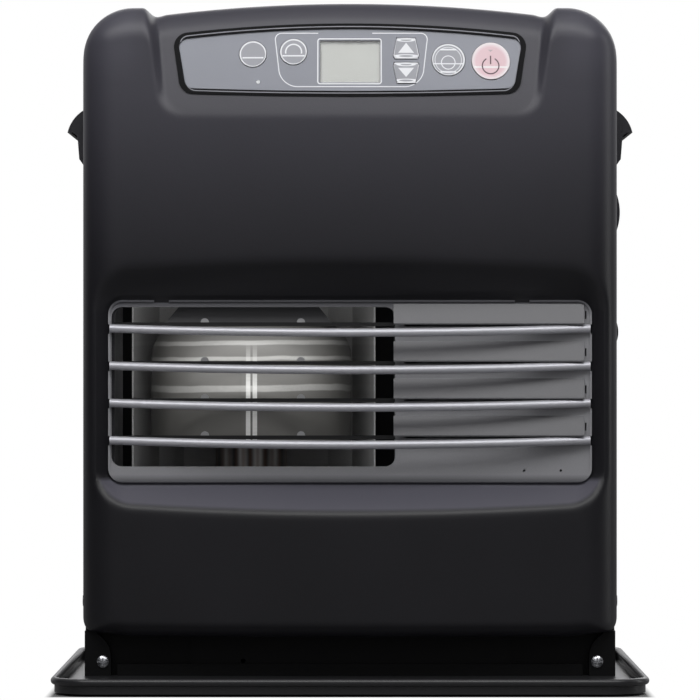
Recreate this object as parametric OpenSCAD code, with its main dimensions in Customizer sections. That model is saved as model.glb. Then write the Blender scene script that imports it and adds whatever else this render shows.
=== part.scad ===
// Fan-forced paraffin heater: a sheet-steel cabinet on a drip tray, with a bowed front,
// a recessed warm-air grille, a sloping control panel and a lift-out fuel tank under a hatch.
// The front faces -Y, the user's right is +X, and the feet stand on Z = 0.

/* [Tray] */
// Width of the drip tray
tray_w = 371; // [360:1:400]
// Depth of the drip tray
tray_d = 299; // [290:1:330]
// Height of the rolled rim above the floor
tray_rim_h = 11; // [10:0.5:16]
// Corner radius of the tray
tray_corner_r = 26; // [18:1:36]
// Radius of the rolled bead round the rim
bead_r = 2.4; // [2:0.1:3]
// Height of the raised deck that the heater stands on
deck_h = 7.5; // [6.5:0.5:9]
// Gap under the tray's wall, which the rubber feet hold open
tray_gap = 1.5; // [1:0.5:2.5]

/* [Cabinet] */
// Width over the side panels
body_w = 338; // [330:1:345]
// Depth from the foremost line of the front panel to the back panel
body_d = 212; // [208:1:225]
// Distance from the tray's front edge to the front panel
front_gap = 50; // [45:1:58]
// Height of the crown over the control panel
body_h = 432.5; // [430:0.5:450]
// How far the top cover lies below the crown
top_drop = 8.5; // [8:0.5:12]
// Thickness of the sheet steel
sheet = 1.2; // [0.8:0.1:1.5]
// Radius of the top edges along the sides
shoulder_r = 32; // [24:1:36]
// Radius of the upright front corners
corner_r = 24; // [18:1:28]
// How far the middle of the front stands proud of its sides
bow = 10; // [6:0.5:13]
// Height of the underside of the side panels
skirt_h = 45; // [40:1:50]
// Height of the front panel's lower edge on the centre line
apron_h = 26; // [24:1:30]
// How far the front panel wraps back along the sides
front_wrap = 36; // [34:1:40]
// Seam between neighbouring panels
seam = 0.3; // [0.2:0.1:0.6]

/* [Grille pocket] */
// Metal left beside the pocket's mouth
mouth_margin = 8; // [7:0.5:12]
// Height of the pocket's mouth
mouth_h = 159; // [150:1:162]
// How far the mouth's upper and lower edges curve in towards its ends
mouth_bend = 4; // [1:0.5:6]
// Depth of the pocket on the centre line
pocket_d = 22; // [20:1:26]
// Height of the pocket's centre above the floor
pocket_z = 190; // [186:1:194]
// Width of the slope between the mouth and the frame on each side
frame_margin = 8.5; // [7:0.5:12]
// Height of the grille frame
frame_h = 115; // [112:1:118]
// Corner radius of the grille frame
frame_r = 9; // [6:1:12]
// Thickness of the grille frame's sheet
frame_t = 1.5; // [1:0.1:2]
// Width of the burner window
window_w = 179; // [174:1:182]
// Height of the burner window
window_h = 100.6; // [98:0.2:102]
// Number of bowed bars
bar_count = 4; // [3:1:4]
// Distance from bar to bar
bar_pitch = 23.5; // [23:0.1:24]
// Height of a bar
bar_h = 5.2; // [4:0.1:6]
// How far the middle of a bar stands forward of its ends
bar_bow = 12; // [9:0.5:14]
// How far the middle of a bar hangs below its ends
bar_sag = 2.8; // [1:0.1:4]
// Height of a louvre blade
louvre_h = 13; // [10:0.5:15]
// How far a louvre blade's lip stands forward
louvre_out = 5; // [3:0.5:6]

/* [Control panel] */
// How far below the crown the control panel starts to lean back
console_drop = 72.5; // [70:0.5:76]
// Lean of the control panel from upright
lean = 12; // [8:0.5:14]
// Width of the bezel at its upper corners
bezel_w = 226; // [216:1:230]
// Height of the bezel on the centre line
bezel_h = 46.4; // [44:0.2:48]
// Width of the bezel's ring
bezel_ring = 3.2; // [2.4:0.2:4]
// Thickness of the silver fascia
fascia_t = 2; // [1.6:0.1:2.6]
// Width of the display window
lcd_w = 38; // [34:0.5:42]
// Height of the display window
lcd_h = 27.5; // [24:0.5:29]
// Travel of a key
key_travel = 0.8; // [0.4:0.1:1]
// Radius of the power key
power_r = 11.9; // [10:0.1:12]
// Radius of the ring key
lock_r = 10.3; // [9:0.1:10.4]
// Radius of the two small round keys
small_key_r = 8.4; // [7:0.1:8.6]

/* [Burner] */
// Width of the warm-air chamber
chamber_w = 181; // [176:1:184]
// Free space round the burner drum, front and back
drum_gap = 6.25; // [6:0.25:9]
// Radius of the burner's neck
neck_r = 23; // [18:1:26]
// Height of the chamber's floor
chamber_floor_h = 126; // [122:1:130]
// Height of the chamber's roof
chamber_roof_h = 262; // [258:1:268]

/* [Fans] */
// Radius of the warm-air fan
fan_r = 72; // [64:1:74]
// Number of its blades
fan_blades = 5; // [4:1:7]
// Radius of the combustion blower's wheel
wheel_r = 27; // [22:1:28]
// Depth of the guard behind the back panel
guard_d = 20; // [16:1:22]

/* [Fuel] */
// Space between the tank and the chamber's wall
tank_gap = 5; // [4:0.5:8]
// Depth of the cabinet's top that the tank leaves free in front and behind
tank_room = 36; // [35:1:60]
// Space over the tank for its handle
tank_drop = 34; // [30:1:50]
// Wall of the tank
tank_wall = 1; // [0.8:0.1:1.4]
// Height of the tank's underside
tank_z = 96; // [94:1:98]
// Radius of the wire bail on the tank
bail_wire_r = 2.4; // [2:0.1:2.8]

/* [Hidden] */
// Smoothness of small and of very large arcs
fine = 64;
huge = 360;
eps = 0.01;
run_gap = 0.07;   // radial clearance of a pin that turns in its hole

// Places along Y
front_y = -tray_d / 2 + front_gap;      // foremost line of the front panel
back_y = front_y + body_d;              // outer face of the back panel
mouth_w = body_w - 2 * mouth_margin;
frame_w = mouth_w - 2 * frame_margin;
knee_h = body_h - console_drop;
split_y = front_y + front_wrap;         // seam behind the front panel
floor_y = front_y + pocket_d;           // floor of the grille pocket
frame_front_y = floor_y - frame_t;      // front face of the grille frame

// The bowed front is an arc of radius bow_r about an upright axis at bow_y
bow_r = (body_w * body_w / 4 + bow * bow) / (2 * bow);
bow_y = front_y + bow_r;
sector = 11;                            // half angle of the arcs about that axis

// Heights
top_z = body_h - top_drop;              // outer face of the top cover
shoulder_z = body_h - 3;                // top of the front panel's shoulders
valley_z = body_h - 8;                  // creases between shoulders and crown
edge_r = 20;                            // round of the shoulders' front edge
crown_edge_r = 15;                      // round at the top of the control panel
console_half = bezel_w / 2 + 14;                     // half width of the console relief at the top
console_low_half = console_half - 8;                 // the same at its lower corners
console_corner_r = 18;
crown_sag = 7;                          // fall of the crown from its middle to its ends
crown_half = console_half - 8;
crown_r = (crown_half * crown_half + crown_sag * crown_sag) / (2 * crown_sag);

fan_room = 43.5;       // depth kept for the warm-air fan behind the chamber

// Chamber, which stands on the left behind the burner window
window_x0 = -frame_w / 2 + 2;
window_x1 = window_x0 + window_w;
window_z0 = pocket_z - 2.7 - frame_h / 2 + 10;
chamber_x0 = window_x0 - 1;
chamber_x1 = chamber_x0 + chamber_w;
chamber_y0 = floor_y + 4;
chamber_y1 = back_y - fan_room;
burner_x = (chamber_x0 + chamber_x1) / 2 - 3;
burner_y = (chamber_y0 + chamber_y1) / 2 - 0.75;
drum_r = (chamber_y1 - chamber_y0) / 2 - drum_gap;
grille_z = pocket_z - 2.7;              // centre of the grille frame
bar_z = grille_z + 39.2;                // ends of the top bar
deck_z = deck_h;                        // the heater stands here
pan_z = deck_z + sheet;                 // upper face of the base frame's floor

drum_low = chamber_floor_h + 26;
drum_top = chamber_roof_h - 28;

// Fuel side
flat_half = body_w / 2 - shoulder_r;     // the top is flat up to here
tank_x0 = chamber_x1 + sheet + tank_gap;
tank_w = flat_half - tank_gap - 4 - tank_x0;
tank_x = tank_x0 + tank_w / 2;
tank_d = body_d - front_wrap - tank_room;
tank_y = split_y + tank_d / 2 + 7.5;
tank_h = top_z - tank_drop - tank_z;
tank_top = tank_z + tank_h;
hatch_gap = 0.7;
hatch_open = 100;                       // angle the lid opens to
hatch_half = tank_w / 2 + 4;
hatch_front = tank_y - tank_d / 2 - 3;
barrel_r = 6;                           // hinge barrel along the lid's rear edge
barrel_y = tank_y + tank_d / 2 + 14;
barrel_z = top_z - barrel_r;
pin_r = 2.5;
lid_t = 1.6;

// Rear fan
fan_x = burner_x + 6;
fan_z = (chamber_floor_h + chamber_roof_h) / 2 + 11;
fan_setback = 26;      // from the back panel to the fan's middle
fan_y = back_y - fan_setback;

case_screw_y = [split_y + 23.5, back_y - 42.5];

// Mains inlet
inlet_x = -body_w / 2 + 32;
inlet_z = 30;

// Screws
screw_x = body_w / 2 - 13;
screw_z = 16.6;
leg_y = front_y + 22.5;                   // front face of the legs

pan_front = leg_y + 9;                  // front wall of the chassis pan, set back behind the legs
pan_wall_top = skirt_h + 15;

module box(lo, hi) {
    translate(lo) cube([hi[0] - lo[0], hi[1] - lo[1], hi[2] - lo[2]]);
}

module rounded(w, d, r) {
    square([w - 2 * r, d], center = true);
    square([w, d - 2 * r], center = true);
    for (x = [-1, 1], y = [-1, 1])
        translate([x * (w / 2 - r), y * (d / 2 - r)]) circle(r, $fn = fine);
}

module rod_y(r, y0, y1) {
    translate([0, y0, 0]) rotate([-90, 0, 0]) cylinder(r = r, h = y1 - y0, $fn = fine);
}

module rod_x(r, x0, x1) {
    translate([x0, 0, 0]) rotate([0, 90, 0]) cylinder(r = r, h = x1 - x0, $fn = fine);
}

// Extrudes a shape drawn in X and Z along Y
module along_y(y0, y1) {
    translate([0, y1, 0]) rotate([90, 0, 0]) linear_extrude(y1 - y0) children();
}

// Turns a profile of radius and height about the bow's upright axis
module bowed() {
    translate([0, bow_y, 0]) rotate([0, 0, -90 - sector])
        rotate_extrude(angle = 2 * sector, $fn = huge) children();
}

// Bead that follows a rounded rectangle
module bead_ring(w, d, r, bead) {
    for (s = [-1, 1]) {
        translate([0, s * d / 2, 0]) rod_x(bead, -w / 2 + r, w / 2 - r);
        translate([s * w / 2, 0, 0]) rod_y(bead, -d / 2 + r, d / 2 - r);
    }
    for (k = [0 : 3])
        rotate([0, 0, 0]) translate([(k == 0 || k == 3 ? 1 : -1) * (w / 2 - r),
            (k < 2 ? 1 : -1) * (d / 2 - r), 0])
            rotate([0, 0, 90 * k]) rotate_extrude(angle = 90, $fn = fine)
                translate([r, 0]) circle(bead, $fn = 24);
}

lug_half = 3.3;
module base_tray() color("#26262a") {
    w = tray_w - 2 * bead_r;
    d = tray_d - 2 * bead_r;
    wall_w = w - 2;
    wall_d = d - 2;
    deck_w = wall_w - 22;
    deck_d = wall_d - 22;
    difference() {
        union() {
            translate([0, 0, tray_rim_h - bead_r]) bead_ring(w, d, tray_corner_r - bead_r, bead_r);
            difference() {
                translate([0, 0, tray_gap]) linear_extrude(tray_rim_h - bead_r - tray_gap)
                    rounded(wall_w + 2 * sheet, wall_d + 2 * sheet, tray_corner_r - 1);
                translate([0, 0, tray_gap + sheet]) linear_extrude(tray_rim_h)
                    rounded(wall_w, wall_d, tray_corner_r - 1 - sheet);
            }
            translate([0, 0, tray_gap]) linear_extrude(deck_z - tray_gap)
                rounded(deck_w, deck_d, tray_corner_r - 8);
        }
        translate([0, 0, -1]) linear_extrude(deck_z - sheet + 1)
            rounded(deck_w - 2 * sheet, deck_d - 2 * sheet, tray_corner_r - 8 - sheet);
    }
    // Lugs that the two front screws go into
    for (s = [-1, 1]) difference() {
        box([s * screw_x - lug_half, leg_y + sheet, deck_z - eps], [s * screw_x + lug_half, leg_y + 2 * sheet, screw_z + 5]);
        translate([s * screw_x, 0, screw_z]) rod_y(2.3, leg_y, leg_y + 3 * sheet);
    }
}

module rubber_feet() color("#17171a") {
    for (x = [-1, 1], y = [-1, 1])
        translate([x * (tray_w / 2 - 45), y * (tray_d / 2 - 42), 0]) {
            cylinder(r = 9, h = deck_z - sheet, $fn = fine);
        }
}

base_half = body_w / 2 - sheet - seam;
leg_w = 16.5;
leg_bend_z = 19.5;     // the leg starts to narrow here
press_half = 0.3 * body_w;
press_out = 3;
ledge_half = base_half - leg_w - 4;
ledge_h = 7.5;

// Right leg drawn in X and Z: it narrows upward in a curve on its inner side
module leg_outline(inset) {
    intersection() {
        translate([base_half - leg_w + inset, deck_z]) square([leg_w - 2 * inset, skirt_h - 2 - inset - deck_z]);
        union() {
            square([body_w, leg_bend_z]);
            translate([base_half, leg_bend_z]) circle(leg_w - inset, $fn = fine);
            // narrow strip behind the front panel's rounded corner
            translate([base_half - 8 + inset, 0]) square([5.8 - 2 * inset, skirt_h]);
        }
    }
}

// Chassis pan: floor, low walls that the cabinet laps over, and two front legs
module base_frame() color("#1d1d20") {
    half = base_half;
    wall_top = pan_wall_top;
    inner_y = back_y - sheet - seam;
    set_back = pan_front;
    difference() {
        union() {
            box([-half, set_back, deck_z], [half, inner_y, wall_top]);
            for (s = [0, 1]) mirror([s, 0, 0]) along_y(leg_y, set_back + 1) leg_outline(0);
            // pressed-out middle of the front wall, and the ledge along its foot
            box([-press_half, set_back - press_out, deck_z], [press_half, set_back + eps, wall_top]);
            box([-ledge_half, set_back - 2 * press_out, deck_z], [ledge_half, set_back + eps, deck_z + ledge_h]);
        }
        box([-half + sheet, set_back + sheet, pan_z], [half - sheet, inner_y - sheet, wall_top + 1]);
        box([-press_half + sheet, set_back - press_out + sheet, pan_z], [press_half - sheet, set_back + 2 * sheet, wall_top + 1]);
        box([-ledge_half + sheet, set_back - 2 * press_out + sheet, deck_z - 1],
            [ledge_half - sheet, set_back - press_out - eps, deck_z + ledge_h - sheet]);
        translate([-press_half * 2 / 3, 0, screw_z]) rod_y(1.5, set_back - press_out - 1, set_back + 2);
        for (s = [0, 1]) mirror([s, 0, 0]) {
            translate([0, 0, -1]) along_y(leg_y + sheet, set_back + eps) leg_outline(sheet);
            translate([screw_x, 0, screw_z]) rod_y(2.3, leg_y - 1, leg_y + 2);
        }
        // intake slots under the blower
        for (i = [0 : 5]) translate([blower_x - 16 + 9 * i, burner_y + 43, 0]) box([0, -20, deck_z - 1], [4, 20, pan_z + 1]);
        for (s = [-1, 1], y = case_screw_y) translate([0, y, skirt_h + 8])
            rod_x(1.9, s > 0 ? half - 3 : -half - 1, s > 0 ? half + 1 : -half + 3);
        // opening for the mains inlet
        translate([inlet_x, 0, inlet_z]) rod_y(9.5, inner_y - 4, inner_y + 1);
    }
}

// Outline of the cabinet behind the front panel, drawn in X and Z
module cabinet_outline(inset) {
    w = body_w - 2 * inset;
    r = shoulder_r - inset;
    t = top_z - inset;
    translate([-w / 2, 0]) square([w, t - r]);
    translate([-w / 2 + r, 0]) square([w - 2 * r, t]);
    for (s = [-1, 1]) translate([s * (w / 2 - r), t - r]) circle(r, $fn = fine);
}

// Outline of the front panel: shoulders, creases and the crown over the console
module front_outline(inset) {
    w = body_w - 2 * inset;
    r = shoulder_r - inset;
    t = shoulder_z - inset;
    difference() {
        union() {
            translate([-w / 2, 0]) square([w, t - r]);
            translate([-w / 2 + r, 0]) square([w - 2 * r, t]);
            for (s = [-1, 1]) translate([s * (w / 2 - r), t - r]) circle(r, $fn = fine);
        }
        polygon([[-console_half - 4 - inset, body_h], [-crown_half - inset, valley_z - inset],
            [crown_half + inset, valley_z - inset], [console_half + 4 + inset, body_h]]);
    }
    intersection() {
        translate([0, body_h - crown_r]) circle(crown_r - inset, $fn = huge);
        translate([-crown_half - 2 - inset, knee_h]) square([2 * crown_half + 4 + 2 * inset, body_h]);
    }
}

// The console relief, drawn in X and Z: it leans inward towards its rounded lower corners
module relief_outline(grow) {
    low = knee_h - 1 - grow;
    half = console_half + grow;
    low_half = console_low_half + grow;
    r = console_corner_r + grow;
    polygon([[-half, body_h + 10], [-low_half, low + r], [-low_half + r, low],
        [low_half - r, low], [low_half, low + r], [half, body_h + 10]]);
    for (s = [-1, 1]) translate([s * (low_half - r), low + r]) circle(r, $fn = fine);
}

// Profile of the front face at the shoulders, as radius about the bow's axis and height
module shoulder_profile(inset) {
    r = bow_r - inset;
    t = body_h - inset;
    translate([r - 70, -1]) square([70, t - edge_r + 1]);
    translate([r - 70, -1]) square([70 - edge_r, t + 1]);
    translate([r - edge_r, t - edge_r]) circle(edge_r, $fn = fine);
}

function lean_r(z) = bow_r - (z - knee_h) * tan(lean);

// Profile of the front face through the console: upright, then leaning, then rolled over
module console_profile(inset) {
    cut = inset / cos(lean);
    z1 = body_h - crown_edge_r;
    c_r = lean_r(z1) - crown_edge_r / cos(lean);
    a = lean;
    polygon([[bow_r - 70, -1], [bow_r - inset, -1], [bow_r - inset, knee_h],
        [lean_r(z1 + 2) - cut, z1 + 2], [c_r, z1], [c_r, body_h - inset], [bow_r - 70, body_h - inset]]);
    translate([c_r, z1]) circle(crown_edge_r - inset, $fn = fine);
}

// Plan of the body with its bowed front and rounded front corners
module body_plan(inset, back) {
    w = body_w - 2 * inset;
    r = corner_r - inset;
    big = bow_r - inset;
    cx = w / 2 - r;
    cy = bow_y - sqrt((big - r) * (big - r) - cx * cx);
    xt = cx * big / (big - r);
    intersection() {
        translate([0, bow_y]) circle(big, $fn = 2 * huge);
        translate([-xt, front_y - 1]) square([2 * xt, cy - front_y + 1 + eps]);
    }
    for (s = [-1, 1]) translate([s * cx, cy]) circle(r, $fn = fine);
    translate([-w / 2, cy]) square([w, back - cy]);
}

// Foot of the front: each slice lies a step further round the roll of the lower edge
module rolled_foot(inset) {
    hull() for (k = [0 : roll_steps]) {
        turn = 90 * k / roll_steps;
        back_off = roll_r * (1 - cos(turn)) - (k == 0 ? 0.05 : 0);
        intersection() {
            linear_extrude(foot_top) body_plan(inset + back_off, split_y + 3);
            along_y(front_y - 1, split_y + 4) above_edge(-inset - roll_r * (1 - sin(turn)));
        }
    }
}

module front_form(inset) {
    intersection() {
        union() {
            rolled_foot(inset);
            box([-body_w, front_y - 5, foot_top - eps], [body_w, back_y, body_h + 5]);
            // behind the flange the sheet's inside is open below
            if (inset > 0) box([-body_w, flange_y, -1], [body_w, back_y, foot_top]);
        }
        linear_extrude(body_h + 1) body_plan(inset, split_y + inset * 3);
        along_y(front_y - 1, split_y + 8) front_outline(inset);
        union() {
            difference() {
                bowed() shoulder_profile(inset);
                along_y(front_y - 2, split_y + 9) relief_outline(inset);
            }
            intersection() {
                bowed() console_profile(inset);
                along_y(front_y - 2, split_y + 9) relief_outline(inset);
            }
        }
    }
}

mouth_r = 24;
mouth_arc = (mouth_w * mouth_w / 5.5 + mouth_bend * mouth_bend) / (2 * mouth_bend);
// A rounded slab whose front and back edges follow the bow, for the mouth of the pocket
module pocket_form(grow) {
    hull() {
        intersection() {
            translate([0, bow_y, 0]) rotate([0, 0, -90 - sector])
                rotate_extrude(angle = 2 * sector, $fn = huge / 2)
                    translate([bow_r, 0]) square([0.6, body_h]);
            translate([0, 0, pocket_z]) along_y(front_y - 1, floor_y) intersection() {
                pocket_mouth(mouth_w + 2 * grow, mouth_h + 2 * grow, mouth_r + grow);
                translate([0, mouth_h / 2 - mouth_arc]) circle(mouth_arc + grow, $fn = huge / 2);
                translate([0, mouth_arc - mouth_h / 2]) circle(mouth_arc + grow, $fn = huge / 2);
            }
        }
        translate([0, 0, grille_z]) along_y(floor_y, floor_y + grow + eps)
            pocket_mouth(frame_w + 2 + 2 * grow, frame_h + 2 + 2 * grow, frame_r + 1 + grow);
    }
}

module pocket_mouth(w, h, r) {
    square([w - 2 * r, h], center = true);
    square([w, h - 2 * r], center = true);
    for (x = [-1, 1], y = [-1, 1])
        translate([x * (w / 2 - r), y * (h / 2 - r)]) circle(r, $fn = 32);
}

// The lower edge hangs in a shallow curve, lowest on the centre line
edge_sag = 8;
edge_half = body_w / 2 - 22;
edge_r_big = (edge_half * edge_half + edge_sag * edge_sag) / (2 * edge_sag);
edge_end_r = 12;
roll_r = 10;           // roll of the lower edge
roll_steps = 5;
foot_top = skirt_h + edge_end_r + roll_r + 3;
flange_y = leg_y - 6;  // rear edge of the flange under the roll

// What lies above the panel's lower edge, drawn in X and Z; grow widens it downward
module above_edge(grow) {
    x = body_w / 2 - edge_end_r;
    intersection() {
        translate([0, apron_h + edge_r_big]) circle(edge_r_big + grow, $fn = huge);
        union() {
            translate([-x, 0]) square([2 * x, body_h + 5]);
            translate([-body_w / 2 - grow, skirt_h]) square([body_w + 2 * grow, body_h]);
            for (s = [-1, 1]) translate([s * x, skirt_h]) circle(edge_end_r + grow, $fn = fine);
        }
    }
}

module front_panel() color("#3b3c40") {
    difference() {
        union() {
            difference() {
                front_form(0);
                front_form(sheet);
                box([-body_w, split_y, -1], [body_w, split_y + 20, body_h + 20]);
            }
            // pressed pocket
            intersection() {
                pocket_form(sheet);
                front_form(0);
            }
            // rear return that closes the crown above the top cover
            difference() {
                along_y(split_y - sheet, split_y) front_outline(sheet / 2);
                along_y(split_y - 5, split_y + 5) cabinet_outline(-seam);
            }
        }
        pocket_form(0);
        // window behind the grille frame
        translate([0, 0, grille_z]) along_y(floor_y - 1, floor_y + 3) rounded(frame_w - 8, frame_h - 8, frame_r - 3);
        // lower edge of the returns behind the flange
        difference() {
            box([-body_w, flange_y, -5], [body_w, split_y + 5, skirt_h + 1]);
            along_y(front_y - 6, split_y + 6) above_edge(0);
        }
        // opening that the console bezel sits in
        along_y(front_y - 5, split_y - 10) console_outline(bezel_ring / 2);
    }
}

module side_panel(s) {
    // ledge that the top cover lies on
    mirror([s > 0 ? 0 : 1, 0, 0]) {
        box([flat_half - 2, split_y + seam, top_z - 2 * sheet - 0.02],
            [flat_half + 2, back_y - sheet, top_z - sheet - 0.02]);
        box([flat_half, split_y + seam, top_z - 1.5 * sheet], [flat_half + 2, back_y - sheet, top_z - sheet / 2]);
    }
    difference() {
        intersection() {
            along_y(split_y + seam, back_y - sheet) cabinet_outline(0);
            box([s > 0 ? flat_half : -body_w, split_y, skirt_h],
                [s > 0 ? body_w : -flat_half, back_y, body_h]);
        }
        along_y(split_y - 5, back_y + 5) cabinet_outline(sheet);
        // window that the grip sits in
        box([s > 0 ? body_w / 2 - 5 : -body_w / 2 - 5, grip_y - grip_l / 2, grip_z - grip_h],
            [s > 0 ? body_w / 2 + 5 : -body_w / 2 + 5, grip_y + grip_l / 2, grip_z]);
        for (y = case_screw_y) translate([0, y, skirt_h + 8])
            rod_x(1.9, s > 0 ? body_w / 2 - 3 : -body_w / 2 - 1, s > 0 ? body_w / 2 + 1 : -body_w / 2 + 3);
    }
}

module side_panel_left() color("#3a3b3f") { side_panel(-1); }
module side_panel_right() color("#3a3b3f") { side_panel(1); }

// Grips: a hood that stands out of the side with a finger pocket under it
grip_y = (split_y + back_y) / 2 - 9.5;
grip_l = 96;           // length of the grip
grip_h = 40;           // height of its window in the side
grip_z = knee_h + 6;   // top of the window
grip_r = 22.7;         // radius of the hood
grip_out = 12.4;       // reach of the hood's tip
grip_deep = 20;        // depth of the finger pocket
grip_wall = 2;
tip_z = grip_z - 13;
hood_z = tip_z - 5;    // centre of the hood's arc
hood_u = grip_out - sqrt(grip_r * grip_r - 25);

// Section of the hood, as reach from the side and height
module hood_profile() {
    difference() {
        translate([hood_u, hood_z]) circle(grip_r, $fn = fine);
        translate([hood_u, hood_z]) circle(grip_r - grip_wall, $fn = fine);
        translate([-60, tip_z - 60]) square([120, 60]);
        translate([-61, 0]) square([60, 2 * body_h]);
    }
}

// Cheeks that close the hood's ends and run down beside the finger gap
module cheek_profile() {
    intersection() {
        translate([hood_u, hood_z]) circle(grip_r, $fn = fine);
        translate([-1, tip_z]) square([40, 40]);
    }
    polygon([[-1, tip_z - 24], [0, tip_z - 24], [grip_out - 7.5, tip_z - 17], [grip_out - 6.5, tip_z - 4],
        [grip_out - 5.7, tip_z - 1.6], [grip_out - 3.3, tip_z + eps], [-1, tip_z + eps]]);
}

module grip(s) {
    y0 = grip_y - grip_l / 2 + seam;
    y1 = grip_y + grip_l / 2 - seam;
    low = grip_z - grip_h + seam;
    mirror([s > 0 ? 0 : 1, 0, 0]) translate([body_w / 2, 0, 0]) {
        difference() {
            union() {
                along_y(y0, y1) hood_profile();
                for (y = [y0, y1 - grip_wall]) along_y(y, y + grip_wall) cheek_profile();
            }
            // the hood's root stays inside the side panel's window
            box([-30, y0 - 1, grip_z - seam], [eps, y1 + 1, body_h]);
        }
        // finger pocket behind the window
        difference() {
            box([-grip_deep, y0, low], [0, y1, grip_z - seam]);
            box([grip_wall - grip_deep, y0 + grip_wall, low + grip_wall], [1, y1 - grip_wall, grip_z - seam - grip_wall]);
        }
    }
}

module left_grip() color("#2c2d31") { grip(-1); }
module right_grip() color("#2c2d31") { grip(1); }

module back_panel() color("#333438") {
    difference() {
        union() {
            intersection() {
                along_y(back_y - sheet, back_y) cabinet_outline(0);
                box([-body_w, back_y - 5, deck_z + 6], [body_w, back_y + 5, body_h]);
            }
        }
        translate([fan_x, 0, fan_z]) rod_y(fan_r + 3, back_y - 5, back_y + 5);
        // ventilation slots above the fan and beside the tank
        for (i = [0 : 11]) translate([tank_x - 42 + 9 * i, back_y, top_z - 44]) box([0, -5, -50], [4, 5, 0]);
        for (i = [0 : 9]) translate([fan_x - 52 + 9 * i, back_y, top_z - 74]) box([0, -5, -20], [4, 5, 0]);
        translate([inlet_x, 0, inlet_z]) rod_y(9, back_y - 5, back_y + 5);
    }
}

module top_cover() color("#3a3b3f") {
    half = flat_half - seam;
    ear_x0 = tank_x - hatch_half - hatch_gap;
    ear_x1 = tank_x + hatch_half + hatch_gap;
    difference() {
        union() {
            box([-half, split_y + seam, top_z - sheet], [half, back_y - sheet, top_z]);
            // ears of the lid's hinge
            for (x = [ear_x0 - 2, ear_x1])
                box([x, barrel_y - 6, barrel_z - 6], [x + 2, barrel_y + 6, top_z - sheet + eps]);
        }
        box([ear_x0, hatch_front - hatch_gap, top_z - 3],
            [ear_x1, barrel_y + barrel_r * tan(hatch_open / 2) + 1.5 * hatch_gap, top_z + 1]);
        translate([0, barrel_y, barrel_z]) rod_x(pin_r + run_gap, ear_x0 - 3, ear_x1 + 3);
    }
}

// Lid over the tank, with a hinge barrel along its rear edge
module hatch_lid() color("#3d3e42") {
    x0 = tank_x - hatch_half;
    x1 = tank_x + hatch_half;
    difference() {
        union() {
            box([x0, hatch_front, top_z - lid_t], [x1, barrel_y, top_z]);
            box([x0, hatch_front, top_z - 4], [x1, hatch_front + lid_t, top_z]);
            translate([0, barrel_y, barrel_z]) {
                rod_x(barrel_r, x0, x1);
                rod_x(pin_r, x0 - 2.4, x1 + 2.4);
            }
        }
        // finger scoop in the front edge
        translate([tank_x, hatch_front - 8, top_z + 6]) rotate([0, 90, 0])
            translate([0, 0, -18]) cylinder(r = 13.3, h = 36, $fn = fine);
    }
    // skin under the finger scoop
    box([tank_x - 20, hatch_front + lid_t, top_z - 4], [tank_x + 20, hatch_front + 14, top_z - 2.6]);
}

// Outline of the bezel, drawn in X and Z, with inset towards its middle
bezel_mid_z = knee_h + 12.2 + bezel_h / 2;
module console_outline(inset) {
    top = bezel_mid_z + bezel_h / 2 - inset;
    low = bezel_mid_z - bezel_h / 2 + inset;
    half = bezel_w / 2 - inset;
    r = 9 - inset;
    fall = 6.7;
    smile = 2.4;
    arch = (half * half + fall * fall) / (2 * fall);
    dish = (half * half + smile * smile) / (2 * smile);
    offset(r = r, $fn = 48) offset(delta = -r) intersection() {
        translate([0, top - arch]) circle(arch, $fn = huge);
        translate([0, low + dish]) circle(dish, $fn = huge);
        polygon([[-half, top], [-half + 7, low], [half - 7, low], [half, top]]);
    }
}

// A layer that follows the leaning console face, from depth a to depth b behind it
module console_layer(a, b) {
    z0 = knee_h + 2;
    z1 = body_h - crown_edge_r + 3;
    bowed() polygon([[lean_r(z0) - a, z0], [lean_r(z1) - a, z1], [lean_r(z1) - b, z1], [lean_r(z0) - b, z0]]);
}

module console_bezel() color("#0e0e11") {
    rim = bezel_ring;
    intersection() {
        along_y(front_y - 4, split_y) difference() {
            console_outline(0);
            console_outline(rim);
        }
        console_layer(-0.9, -0.05);
    }
    intersection() {
        along_y(front_y - 4, split_y) difference() {
            console_outline(rim / 2 + 0.2);
            console_outline(rim);
        }
        console_layer(-0.1, 4);
    }
}

key_gap = 0.4;

// Moves to the point of the console face at x, z and turns +Z to its outward normal
module on_console(x, z) {
    r = lean_r(z);
    turn = asin(x / r);
    translate([0, bow_y, z]) rotate([0, 0, turn]) translate([0, -r, 0]) rotate([90 - lean, 0, 0]) children();
}

// A place on the console, as shares of the bezel's width and height from its middle
function console_at(across, up) = [across * bezel_w, bezel_mid_z + up * bezel_h];
timer_at = console_at(-0.27, 0.082);
save_at = console_at(-0.157, 0.112);
up_at = console_at(0.156, 0.16);
down_at = console_at(0.156, -0.176);
lock_at = console_at(0.2735, 0.004);
power_at = console_at(0.3915, -0.013);
led_at = console_at(-0.255, -0.3);
lcd_mid_z = bezel_mid_z - 0.9;
arrow_w = 16;
arrow_h = 13.6;

// Trapezoid of the arrow keys: wide = 1 has its long side below
module arrow_shape(wide, grow) {
    w = arrow_w + 2 * grow;
    h = arrow_h + 2 * grow;
    polygon([[-w / 2 + 1, -wide * h / 2], [w / 2 - 1, -wide * h / 2], [w / 2, -wide * (h / 2 - 2)],
        [w / 2 - 2.4, wide * h / 2], [-w / 2 + 2.4, wide * h / 2], [-w / 2, -wide * (h / 2 - 2)]]);
}

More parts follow.
